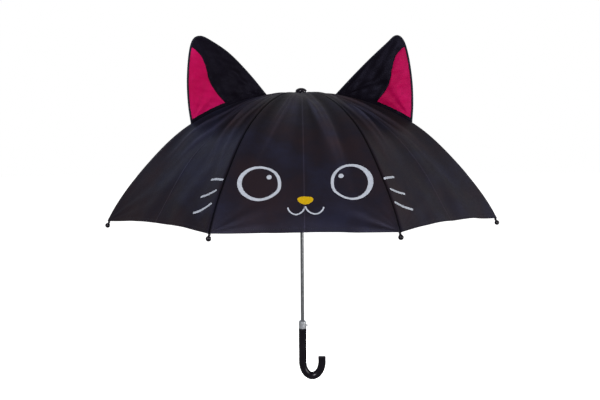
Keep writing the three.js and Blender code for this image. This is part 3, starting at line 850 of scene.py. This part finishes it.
def face_print():
    """The pieces of the printed face, by half panel."""
    mouth = spline(np.array(MOUTH) * MM, 60)
    # The left half of the mouth is drawn a little narrower.
    mouths = {"left": mouth * (0.947, 1), "right": mouth * (-1.0, 1)}
    limits = {"left": (-1.0, 0.0), "right": (0.0, 1.0)}
    pieces = {}
    for word, half in (("left", "8_after"), ("right", "1_before")):
        stroke = mouths[word] + [1.3 * MM, 0]
        pieces[half] = [
            eye_ring(f"print_eye_{word}", word),
            glint(f"print_glint_{word}", GLINTS[word]),
            nose_half(f"print_nose_{word}", word),
            ink_stroke(f"print_mouth_{word}", 0, stroke, INK_WIDTH["mouth"], limits[word]),
        ]
    for word, half, panel in (("left", "8_before", 7), ("right", "1_after", 1)):
        pieces[half] = [
            ink_stroke(
                f"print_whisker_{word}_{n}", panel, spline(np.array(line) * MM, 30), INK_WIDTH["whisker"]
            )
            for n, line in enumerate(WHISKERS[word], 1)
        ]
    return pieces


def canopy():
    """Eight panels, each of two halves."""
    ink = face_print()
    for k in range(1, RIB_COUNT + 1):
        # The half panels before and after a rib start at it, with v at 1 or -1.
        for name, panel, sign in ((f"{k}_before", k - 1, 1), (f"{k}_after", k % RIB_COUNT, -1)):
            half_panel(k, name, panel, sign, ink.get(name, []))


# ---- Ribs and stretchers ----

RIB_R = 1.3 * MM
RIB_START_R = 16 * MM           # the rib's arc begins here, its lead runs in to the notch
BLADE = 1.6 * MM                # thickness of the eye and the lug
RIB_FOLD_LIFT = -2.6 * MM
RIVET_HEAD = [(0, 0), (1.1, 0), (1.05, 0.25), (0.7, 0.5), (0, 0.6)]
CHANNEL = [
    (-1, -1.1), (-0.7, -1.3), (0.7, -1.3), (1, -1.1), (1, 1.3),
    (0.55, 1.3), (0.55, -0.4), (-0.55, -0.4), (-0.55, 1.3), (-1, 1.3),
]


def rib(k):
    """A sprung rod with a flattened eye at the notch and a lug for the stretcher's rivet."""
    angles = np.linspace(math.asin(RIB_START_R / RIB_ARC_R), TIP_ANGLE - 1 * MM / ARC_R, 70)
    line = on_arc(angles, RIB_ARC_R)
    start = NOTCH + [1 * MM, 0.3 * MM]
    line = np.vstack([[start + (line[0] - start) * t for t in (0.0, 0.35, 0.7)], line])
    widths = np.where(np.arange(len(line)) < 2, BLADE / 2, RIB_R)
    path = in_rib_plane(k, np.column_stack([line, np.zeros(len(line))]))
    hole, rim, half = 0.8 * MM, 2 * MM, BLADE / 2
    section = [(hole, -half), (rim, -half), (rim, half), (hole, half), (hole, -half)]
    eye, eye_faces = turned(rounded(section, 0.3 * MM)[:-1], 24)
    corners = np.array([(4, 1), (3.2, 2.4), (-3.2, 4.6), (-4, 4.4)]) * MM
    lug = np.vstack([arc(JOINT, 1.6 * MM, 10, math.pi, math.pi), JOINT + corners])
    lug, lug_faces = prism(lug, -half, half, 0.15 * MM)
    rod = bar(path, widths, RIB_R, rib_axes(k)[2], 10)
    parts = [
        rod, (in_rib_plane(k, eye + [*NOTCH, 0]), eye_faces), (in_rib_plane(k, lug), lug_faces),
    ]
    piece = mesh_object(f"rib_steel_{k}", parts, RIB_STEEL)
    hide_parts(f"rib_{k}")
    # Thread ties hold the cloth to the rib.
    ties = [
        tie(k, FIRST_ANGLE + (HEM_ANGLE - FIRST_ANGLE) * share, shift * MM)
        for share in (0.33, 0.66, 0.86) for shift in (-0.5, 0.0, 0.5)
    ]
    threads = mesh_object(f"rib_ties_{k}", ties, THREAD)
    for part, slot in ((piece, "rib_steel"), (threads, "canopy_fabric")):
        attach(part, f"rib_{k}", slot)
        fold_flat(part, k, RIB_FOLD_LIFT, 0.04)


def tie(k, angle, shift):
    """One loop of thread round the rib."""
    outward = np.array([math.sin(angle), math.cos(angle), 0])
    along = np.array([math.cos(angle), -math.sin(angle), 0])
    centre = np.append(on_arc(angle, RIB_ARC_R), 0) + along * shift
    loop, thread = 1.55 * MM, 0.25 * MM
    rings = []
    for t in np.arange(20) * 2 * math.pi / 20:
        away = outward * math.sin(t) + [0, 0, math.cos(t)]
        for u in np.arange(6) * 2 * math.pi / 6:
            rings.append(centre + away * (loop + thread * math.cos(u)) + along * thread * math.sin(u))
    return in_rib_plane(k, rings), closed_faces(20, 6, True, True)


def stretcher(k):
    """A channel-section bar that forks round the rib's lug, with a domed rivet."""
    way = JOINT - RUNNER
    length = float(np.linalg.norm(way))
    fork = length - 14 * MM
    # The runner's end is cranked down to pass under the wire.
    line = [(-1.6, -1.8), (4, -1.8), (19, -1.8), (26, -1.5), (33, -0.8), (40, 0), (90, 0)]
    line = np.array([*line, (fork / MM + 1, 0)]) * MM
    section = np.array(CHANNEL) * MM
    rings = np.array([[(x, y + high, wide) for wide, high in section] for x, y in line])
    parts = [(rings.reshape(-1, 3), capped_faces(len(line), len(section)))]
    inside, outside = BLADE / 2 + 0.3 * MM, BLADE / 2 + 1.2 * MM
    low, high = -1.3 * MM, 1.3 * MM
    cheek = np.vstack([
        [(fork, high), (fork, low)], arc((length, 0), 1.6 * MM, 10, -math.pi / 2, math.pi)
    ])
    head, head_faces = turned([(r * MM, z * MM) for r, z in RIVET_HEAD], 16)
    for side in (-1, 1):
        parts.append(prism(cheek, *sorted((side * inside, side * outside)), 0.15 * MM))
        parts.append((head * (1, 1, side) + [length, 0, side * outside], head_faces))
    web = [(fork, low), (fork + 4 * MM, low), (fork + 4 * MM, high), (fork, high)]
    parts.append(prism(web, -outside, outside, 0.2 * MM))
    cos, sin = way / length
    turn = np.array([[cos, sin, 0], [-sin, cos, 0], [0, 0, 1]])
    placed = [(in_rib_plane(k, points @ turn + [*RUNNER, 0]), faces) for points, faces in parts]
    piece = mesh_object(f"stretcher_steel_{k}", placed, RIB_STEEL)
    attach(piece, f"stretcher_{k}", "rib_steel", f"stretcher_{k}")
    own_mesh(piece)


def rib_tip(k):
    """A glossy ball on a waisted neck, threaded onto the end of the rib."""
    ball, neck, bore, reach = 4.3 * MM, 2.0 * MM, 1.6 * MM, -7.5 * MM
    join = math.acos(neck / ball)
    profile = [
        (0, 0.9 * MM), (bore, 0.9 * MM), (bore, reach), (neck, reach),
        (neck + 0.1 * MM, -7.2 * MM), (neck, -6.6 * MM), (neck - 0.1 * MM, -5 * MM),
        *arc((0, 0), ball, 17, -join, join + math.pi / 2),
    ]
    points, faces = turned(profile, 28)
    # The lathe's axis turns to the direction in which the rib ends.
    cos, sin = math.cos(TIP_ANGLE), math.sin(TIP_ANGLE)
    basis = np.array([[sin, cos, 0], [0, 0, 1], [cos, -sin, 0]])
    placed = in_rib_plane(k, points @ basis + [*on_arc(TIP_ANGLE, RIB_ARC_R), 0])
    piece = mesh_object(f"rib_tip_ball_{k}", [(placed, faces)], GLOSS, sharp=50)
    attach(piece, f"rib_{k}", "gloss_plastic", f"rib_tip_{k}")


# ---- Ears ----

EARS = {
    "right": {"rib": 2, "shift": -0.5 * MM, "lean": 0.115, "fullness": 0.2},
    "left": {"rib": 7, "shift": 0.0, "lean": 0.035, "fullness": 1.0},
}
EAR_INNER = 75 * MM
EAR_OUTER = 220 * MM
EAR_LINING = 151 * MM
BASE_LIFT = -0.4 * MM
# Distance from the shaft axis, and height above the line between the ends of the ear's base.
EAR_EDGE = np.array([
    (112, 53), (152, 104), (190, 141), (209, 154.3), (221, 150.3), (227, 125), (229, 81), (226, 37),
]) * MM
EAR_PEAK = 3                    # which of them is the peak
FOOT_BAND = 8 * MM              # black band under the lining
EAR_HALF = 0.25 * MM            # half the gap between the faces at the edge
EAR_CLOTH = 0.5 * MM
EAR_PUFF = 4.2 * MM
CORD_R = 1.9 * MM
EAR_FOLD = (-31 * MM, 0.35)     # lift and keep for fold_flat, which does not use them
LINING_EDGE = np.array([(219.5, 137), (205, 117), (196, 92), (190, 69), (178, 44)]) * MM


def on_seam(r, lift):
    """A point above the rib seam at a distance from the shaft axis."""
    r = np.asarray(r, float)
    return np.stack([r, ARC_Z + np.sqrt(ARC_R ** 2 - r ** 2) + lift], -1)


def ear_lines(side):
    """The edge, the lining's edge and the base of one ear in its rib's plane."""
    shift, lean = EARS[side]["shift"], EARS[side]["lean"]
    inner = on_seam(EAR_INNER + shift, 0)[1]
    outer = on_seam(EAR_OUTER + shift, 0)[1]

    def bowed(places):
        straight = places[EAR_PEAK, 1] * (places[:, 0] - EAR_INNER) / (places[EAR_PEAK, 0] - EAR_INNER)
        up = straight + (places[:, 1] - straight) * EARS[side]["fullness"]
        upper = np.arange(len(places)) < EAR_PEAK
        return np.stack([places[:, 0], np.where(upper, up, places[:, 1])], -1)

    def placed(places):
        out, up = places[:, 0], places[:, 1]
        share = (out - EAR_INNER) / (EAR_OUTER - EAR_INNER)
        return np.stack([out + shift - lean * up, inner + (outer - inner) * share + up], -1)

    ends = [on_seam(r + shift, BASE_LIFT) for r in (EAR_INNER, EAR_OUTER, EAR_LINING)]
    return {
        "edge": spline(np.vstack([ends[0], placed(bowed(EAR_EDGE)), ends[1]]), 160),
        "lining": spline(np.vstack([placed(LINING_EDGE), ends[2]]), 48),
        "base": on_seam(np.linspace(EAR_INNER + shift, EAR_OUTER + shift, 60), BASE_LIFT),
    }


EAR_LINES = {side: ear_lines(side) for side in EARS}
EAR_WAVES = RANDOM.uniform(0, 2 * math.pi, (2, 8))


def ear_height(points, side, front):
    """How far a face of the ear stands off the ear's middle plane."""
    lines = EAR_LINES[side]
    rim = np.minimum(distance_to(points, lines["edge"]), distance_to(points, lines["base"]))
    soft = 1 - bell(rim, 7 * MM)
    phase = EAR_WAVES[0 if side == "right" else 1]
    wrinkle = 0
    # Creases that spread from the outer and from the inner end of the base.
    outer, inner = lines["base"][-1] + [0, 6 * MM], on_seam(EAR_INNER + 12 * MM, 0)
    for end, way, rates, second, height, reach, phases in (
        (outer, -1, (11, 19), 0.6, 0.75 * MM, 45 * MM, phase[:2]),
        (inner, 1, (13, 24), 0.5, 0.6 * MM, 60 * MM, phase[2:4]),
    ):
        x, y = np.moveaxis(points - end, -1, 0)
        turn = np.arctan2(y, way * x)
        rays = np.sin(rates[0] * turn + phases[0]) + second * np.sin(rates[1] * turn + phases[1])
        wrinkle += height * rays * swell(np.hypot(x, y), reach)
    x, y = np.moveaxis(points, -1, 0)
    for n, (rate, slant) in enumerate(((210, 0.9), (330, 0.5), (450, 1.4))):
        wave = np.sin(rate * (x * math.cos(slant) - y * math.sin(slant)) + phase[4 + n])
        wrinkle += 0.35 * MM * wave
    if front:
        wrinkle -= 0.7 * MM * bell(distance_to(points, lines["lining"]), 1.2 * MM)
    return EAR_PUFF * (1 - np.exp(-rim / (26 * MM))) + wrinkle * soft


def ear_face(side, word, grid, stuff, slot):
    """One sheet of an ear over a grid of places in the rib's plane."""
    k = EARS[side]["rib"]
    front = word != "back_cloth"
    facing = 1 if (side == "right") == front else -1
    height = ear_height(grid, side, front)
    faces_out = []
    for lift in (0.0, -EAR_CLOTH):
        z = facing * (EAR_HALF + EAR_CLOTH + height + lift)
        faces_out.append(in_rib_plane(k, np.concatenate([grid, z[..., None]], -1)))
    flat = grid.reshape(-1, 2)
    name = f"ear_{side}_{word}"
    piece = mesh_object(name, [skin(*faces_out)], stuff, np.concatenate([flat, flat]))
    replaced = [name.removesuffix("_cloth")] if word.endswith("_cloth") else []
    attach(piece, f"rib_{k}", slot, *replaced)
    fold_flat(piece, k, *EAR_FOLD)
    return piece


def nearest(line, lift):
    """Index of the point of a line that is nearest to a lifted seam, in height."""
    return int(np.argmin(np.abs(line[:, 1] - on_seam(line[:, 0], lift)[:, 1])))


def along_seam(start, end, lift, steps):
    return even(on_seam(np.linspace(start, end, 30), lift), steps)


def ear(side):
    k = EARS[side]["rib"]
    edge, lining, foot = (EAR_LINES[side][word] for word in ("edge", "lining", "base"))
    start, split, end = foot[0, 0], lining[-1, 0], foot[-1, 0]
    top = int(np.argmin(np.linalg.norm(edge - lining[0], axis=1)))
    length, across = 60, 26
    # Front, from the inner corner to the edge of the lining.
    low = even(on_seam(np.linspace(start, split, 40), BASE_LIFT), length)
    right = even(np.vstack([lining[::-1], edge[top]]), across)
    black = coons(np.tile(low[0], (across + 1, 1)), right, low, even(edge[:top + 1], length))
    # Lining, from its top corner down to the black band at the foot.
    above = on_seam(0.0, FOOT_BAND)[1] - ARC_Z - ARC_R + BASE_LIFT
    stop, leave = nearest(lining, above), top + nearest(edge[top:], above)
    inner = even(np.vstack([edge[top], lining[:stop + 1]]), length)
    outer = even(edge[top:leave + 1], length)
    base = along_seam(inner[-1, 0], outer[-1, 0], above, across)
    base[0], base[-1] = inner[-1], outer[-1]
    pink = coons(inner, outer, np.tile(inner[0], (across + 1, 1)), base)
    # The band itself.
    sides = [even(line, 6) for line in (lining[stop:], edge[leave:])]
    ground = along_seam(split, end, BASE_LIFT, across)
    ground[0], ground[-1] = sides[0][-1], sides[1][-1]
    band = coons(*sides, base, ground)
    # Back, between the base and the whole edge: most of the base belongs to the long upper edge.
    reach = np.interp(np.linspace(0, 1, 71), (0, 0.62, 1), (start, start + 0.79 * (end - start), end))
    back_low = on_seam(reach, BASE_LIFT)
    ends = [np.tile(back_low[i], (across + 1, 1)) for i in (0, -1)]
    back = coons(*ends, back_low, even(edge, 70))

    along = directions(edge)
    line = edge + np.stack([-along[:, 1], along[:, 0]], -1) * 1.0 * MM
    width = CORD_R * (1 + 0.03 * np.sin(np.arange(len(line)) * 2.1))
    path = in_rib_plane(k, np.column_stack([line, np.zeros(len(line))]))
    cord = mesh_object(f"ear_{side}_piping_cord", [bar(path, width, width, rib_axes(k)[2], 14)], BINDING)
    attach(cord, f"rib_{k}", "ear_piping", f"ear_{side}_piping")
    fold_flat(cord, k, *EAR_FOLD)
    ear_face(side, "front_cloth", black, EAR_BLACK, "ear_fabric")
    bright = ear_face(side, "lining_cloth", pink, EAR_PINK, "ear_lining")
    bright.visible_glossy = False     # the canopy is too dull to mirror the pink
    ear_face(side, "foot_band", band, EAR_BLACK, "ear_fabric")
    ear_face(side, "back_cloth", back, EAR_BLACK, "ear_fabric")


# ---- Shaft, cap, handle and collar ----

SHAFT_R, SHAFT_BORE = 3.5 * MM, 2.9 * MM
SLEEVE_BORE = 3.8 * MM          # of what slides over the shaft
CAP_R, CAP_EDGE, CAP_RISE = 11 * MM, 1.5 * MM, 6.1 * MM
ROSETTE_R = 13.2 * MM
HOOK_X, HOOK_Z = 19.5 * MM, -33.5 * MM
HOOK_DEPTH, HOOK_END = 29 * MM, -22.5 * MM
HANDLE_R, HANDLE_FILLET = 7.8 * MM, 1.1 * MM
PLUG_R = 5.2 * MM
COLLAR_R, RING_DEPTH = 7.4 * MM, 0.25 * MM
BUTTON_R = 1.5 * MM


def heights_of(node_name):
    low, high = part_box(node_name)
    return low.z, high.z


def plain_piece(name, part, stuff, body, slot, replaced, sharp=40):
    attach(mesh_object(name, [part], stuff, sharp=sharp), body, slot, replaced)


def cap():
    """A low dome over the end of the shaft."""
    inside = heights_of("shaft")[1] + 0.3 * MM
    low = heights_of("canopy_rosette")[1] + 0.3 * MM
    edge = low + CAP_EDGE
    outline = [(0, inside), (SLEEVE_BORE, inside), (SLEEVE_BORE, low)]
    outline += rounded([(SLEEVE_BORE, low), (CAP_R, low), (CAP_R + 0.1 * MM, edge)], 0.5 * MM)[1:]
    outline += [
        (CAP_R * math.cos(t), edge + CAP_RISE * math.sin(t))
        for t in np.linspace(0.05, math.pi / 2, 22)[:-1]
    ]
    outline.append((0, edge + CAP_RISE))
    plain_piece("cap_dome", turned(outline, 56), GLOSS, "frame", "gloss_plastic", "top_cap")


def rosette():
    """A round of canopy cloth under the cap, its edge slightly wavy."""
    turn = np.linspace(0, 2 * math.pi, 97)[:-1]
    share = np.linspace(0, 1, 8)[:, None]
    hole = 4.0 * MM
    r = hole + (ROSETTE_R + 0.25 * MM * np.sin(24 * turn) - hole) * share
    droop = -0.54 * MM * share ** 3 * (1 + 0.2 * np.sin(12 * turn))
    high = heights_of("canopy_rosette")[1] - 0.05 * MM
    top = np.stack([r * np.cos(turn), r * np.sin(turn), high + droop], -1)
    points, faces = skin(top, top - [0, 0, 0.5 * MM], ring=True)
    piece = mesh_object("rosette_cloth", [(points, faces)], CANOPY, points[:, :2])
    attach(piece, "frame", "canopy_fabric", "canopy_rosette")


def shaft():
    low, high = heights_of("shaft")
    outline = [(SHAFT_BORE, low), (SHAFT_R, low), (SHAFT_R, high), (SHAFT_BORE, high)]
    tube = turned(rounded(outline, 0.2 * MM), 48)
    plain_piece("shaft_tube", tube, STEEL, "frame", "steel", "shaft")


def handle():
    """The J: a straight grip, half an ellipse and a short upright end, moulded in one."""
    top = heights_of("handle")[1]
    straight = [(0, z) for z in np.linspace(top, HOOK_Z, 30)[:-1]]
    bend = [
        (HOOK_X * (1 + math.cos(t)), HOOK_Z + HOOK_DEPTH * math.sin(t))
        for t in np.linspace(math.pi, 2 * math.pi, 60)
    ]
    end = [(2 * HOOK_X, z) for z in np.linspace(HOOK_Z, HOOK_END, 10)[1:]]
    line = even(np.array(straight + bend + end), 150)
    run = np.linalg.norm(np.diff(line, axis=0, prepend=line[:1]), axis=1).cumsum()
    # Extra stations round both ends over.
    rounding = []
    for share in (0.0, 0.08, 0.3, 0.65, 1.0):
        inset = HANDLE_FILLET * (1 - math.sqrt(1 - (1 - share) ** 2))
        rounding.append((share * HANDLE_FILLET, HANDLE_R - inset))
    clear = 1.2 * HANDLE_FILLET
    stations = rounding + [(at, HANDLE_R) for at in run if clear < at < run[-1] - clear]
    stations += [(run[-1] - at, width) for at, width in rounding[::-1]]
    at, widths = np.array(stations).T
    path = np.stack([np.interp(at, run, line[:, 0]), 0 * at, np.interp(at, run, line[:, 1])], -1)
    grip = bar(path, widths, widths, (0, 1, 0), 44)
    plain_piece("handle_grip", grip, GLOSS, "frame", "gloss_plastic", "handle", sharp=60)
    outline = [
        (0, -0.6 * MM), (PLUG_R, -0.6 * MM), (PLUG_R - 0.1 * MM, 0.12 * MM),
        (PLUG_R - 0.7 * MM, 0.3 * MM), (0, 0.35 * MM),
    ]
    points, faces = turned(outline, 32)
    plug = (points + [2 * HOOK_X, 0, HOOK_END - 0.2 * MM], faces)
    plain_piece("handle_plug", plug, MATT, "frame", "matt_plastic", "handle_end_plug")


def collar():
    """A metal sleeve with a bevelled shoulder and a shallow ring, and its button."""
    low, high = heights_of("handle_collar")
    sunk = COLLAR_R - RING_DEPTH
    outline = rounded([
        (SLEEVE_BORE, low), (COLLAR_R, low), (COLLAR_R, low + 1.8 * MM), (sunk, low + 2.1 * MM),
        (sunk, low + 2.5 * MM), (COLLAR_R, low + 2.8 * MM), (COLLAR_R, high - 2.7 * MM),
        (COLLAR_R - 2 * MM, high), (SLEEVE_BORE, high),
    ], 0.35 * MM)
    shell = turned(outline, 56)
    plain_piece("collar_shell", shell, COLLAR_METAL, "frame", "collar_metal", "handle_collar")
    start, reach = 5.6 * MM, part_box("release_button")[1].x
    outline = rounded([(0, start), (BUTTON_R, start), (BUTTON_R, reach), (0, reach)], 0.7 * MM)
    points, faces = turned(outline, 28)
    middle = sum(heights_of("release_button")) / 2
    button = (np.column_stack([points[:, 2], points[:, 1], middle - points[:, 0]]), faces)
    name = "release_button"
    plain_piece("collar_button", button, COLLAR_METAL, name, "collar_metal", name)


def kept_parts():
    """CAD parts whose shape is right get their finish."""
    stuffs = {
        "top_notch": MATT, "runner": MATT,
        "notch_wire": SPRING_STEEL, "runner_wire": SPRING_STEEL, "top_spring": SPRING_STEEL,
    }
    for name, stuff in stuffs.items():
        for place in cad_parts[name].material_slots:
            place.material = stuff


# ---- Camera, light and floor ----

CAMERA_DISTANCE = 1392 * MM
CAMERA_Z = RIM_Z + 128.7 * MM
CAMERA_TURN = math.radians(0.7)
CAMERA_DOWN = math.radians(3.99)
CAMERA_ROLL = math.radians(-0.35)
CAMERA_SHIFT = -0.003
SENSOR = 36                     # width, in mm
LENS_SHARE = 7 / 6              # focal length over that width
LIGHT_TARGET = (0, 0, 0.35)
LIGHTS = {
    # Place, side of the square in metres, watts, colour.
    "key": ((-0.7, -2.4, 1.1), 1.0, 66, (0.97, 0.95, 1.0)),
    "fill": ((1.9, -1.4, 0.5), 1.0, 34, (1.0, 0.97, 0.95)),
    "left_rim": ((-1.5, 1.2, 1.9), 1.2, 2.4, (0.45, 0.58, 1.0)),
    "right_rim": ((1.9, 0.2, 1.2), 1.2, 3, (0.95, 0.92, 1.0)),
    "back": ((0.5, 2.5, 0.3), 1.0, 30, (0.97, 0.96, 1.0)),
}
DOME_R = 30.0
FLOOR_REACH = 60.0
FLOOR_DROP = 0.55               # below the hook: the umbrella hangs over the floor


def camera():
    data = bpy.data.cameras.new("camera")
    data.sensor_width = SENSOR
    data.lens = SENSOR * LENS_SHARE
    data.shift_x = CAMERA_SHIFT
    eye = add_object("camera", data)
    cos, sin = math.cos(CAMERA_TURN), math.sin(CAMERA_TURN)
    eye.location = (-CAMERA_DISTANCE * sin, -CAMERA_DISTANCE * cos, CAMERA_Z)
    aim = Euler((math.pi / 2 - CAMERA_DOWN, 0, -CAMERA_TURN)).to_matrix()
    eye.rotation_euler = (aim @ Matrix.Rotation(CAMERA_ROLL, 3, "Z")).to_euler()
    bpy.context.scene.camera = eye


def light(name, place, size, power, colour):
    data = bpy.data.lights.new(name, "AREA")
    data.shape = "RECTANGLE"
    data.size = data.size_y = size
    data.energy = power
    data.color = colour
    lamp = add_object(name, data)
    lamp.location = place
    lamp.rotation_euler = (Vector(LIGHT_TARGET) - Vector(place)).to_track_quat("-Z", "Y").to_euler()


def stage(thing):
    """The camera sees it, but it neither lights the umbrella nor shows in it."""
    thing.visible_diffuse = thing.visible_glossy = False
    thing.visible_transmission = thing.visible_shadow = False


def backdrop():
    """A white dome round the scene."""
    stuff, _, _ = material(
        "white_backdrop", Emission_Strength=1.0, Emission_Color=(1, 1, 1, 1),
        Base_Color=(0, 0, 0, 1), Specular_IOR_Level=0,
    )
    outline = [(0, -DOME_R), *arc((0, 0), DOME_R, 14, -1.4, 2.8), (0, DOME_R)]
    stage(mesh_object("backdrop", [turned(outline, 48)], stuff))


def floor():
    stuff, tree, shader = material(
        "pale_floor", Roughness=0.9, Emission_Strength=0.95, Emission_Color=(1, 1, 1, 1)
    )
    greys = [(0.0, (0.93, 0.93, 0.93)), (1.0, (0.96, 0.96, 0.96))]
    socket(tree, colours(tree, noise(tree, 2.0, 2.0), greys), shader.inputs["Base Color"])
    mesh = bpy.data.meshes.new("floor")
    corners = [(-1, -1), (1, -1), (1, 1), (-1, 1)]
    level = cad_low.z - FLOOR_DROP
    mesh.from_pydata([(x * FLOOR_REACH, y * FLOOR_REACH, level) for x, y in corners], [], [(0, 1, 2, 3)])
    mesh.materials.append(stuff)
    stage(add_object("floor", mesh))


def studio():
    scene = bpy.context.scene
    scene.view_settings.view_transform = "Standard"
    scene.world = bpy.data.worlds.new("studio")
    scene.world.use_nodes = True
    sky = scene.world.node_tree.nodes["Background"]
    sky.inputs[0].default_value = (1, 1, 1, 1)
    sky.inputs[1].default_value = 0.3
    backdrop()
    for name, facts in LIGHTS.items():
        light(name, *facts)
    floor()


camera()
studio()
for number in range(1, RIB_COUNT + 1):
    rib(number)
    stretcher(number)
    rib_tip(number)
canopy()
for which in EARS:
    ear(which)
cap()
rosette()
shaft()
handle()
collar()
kept_parts()
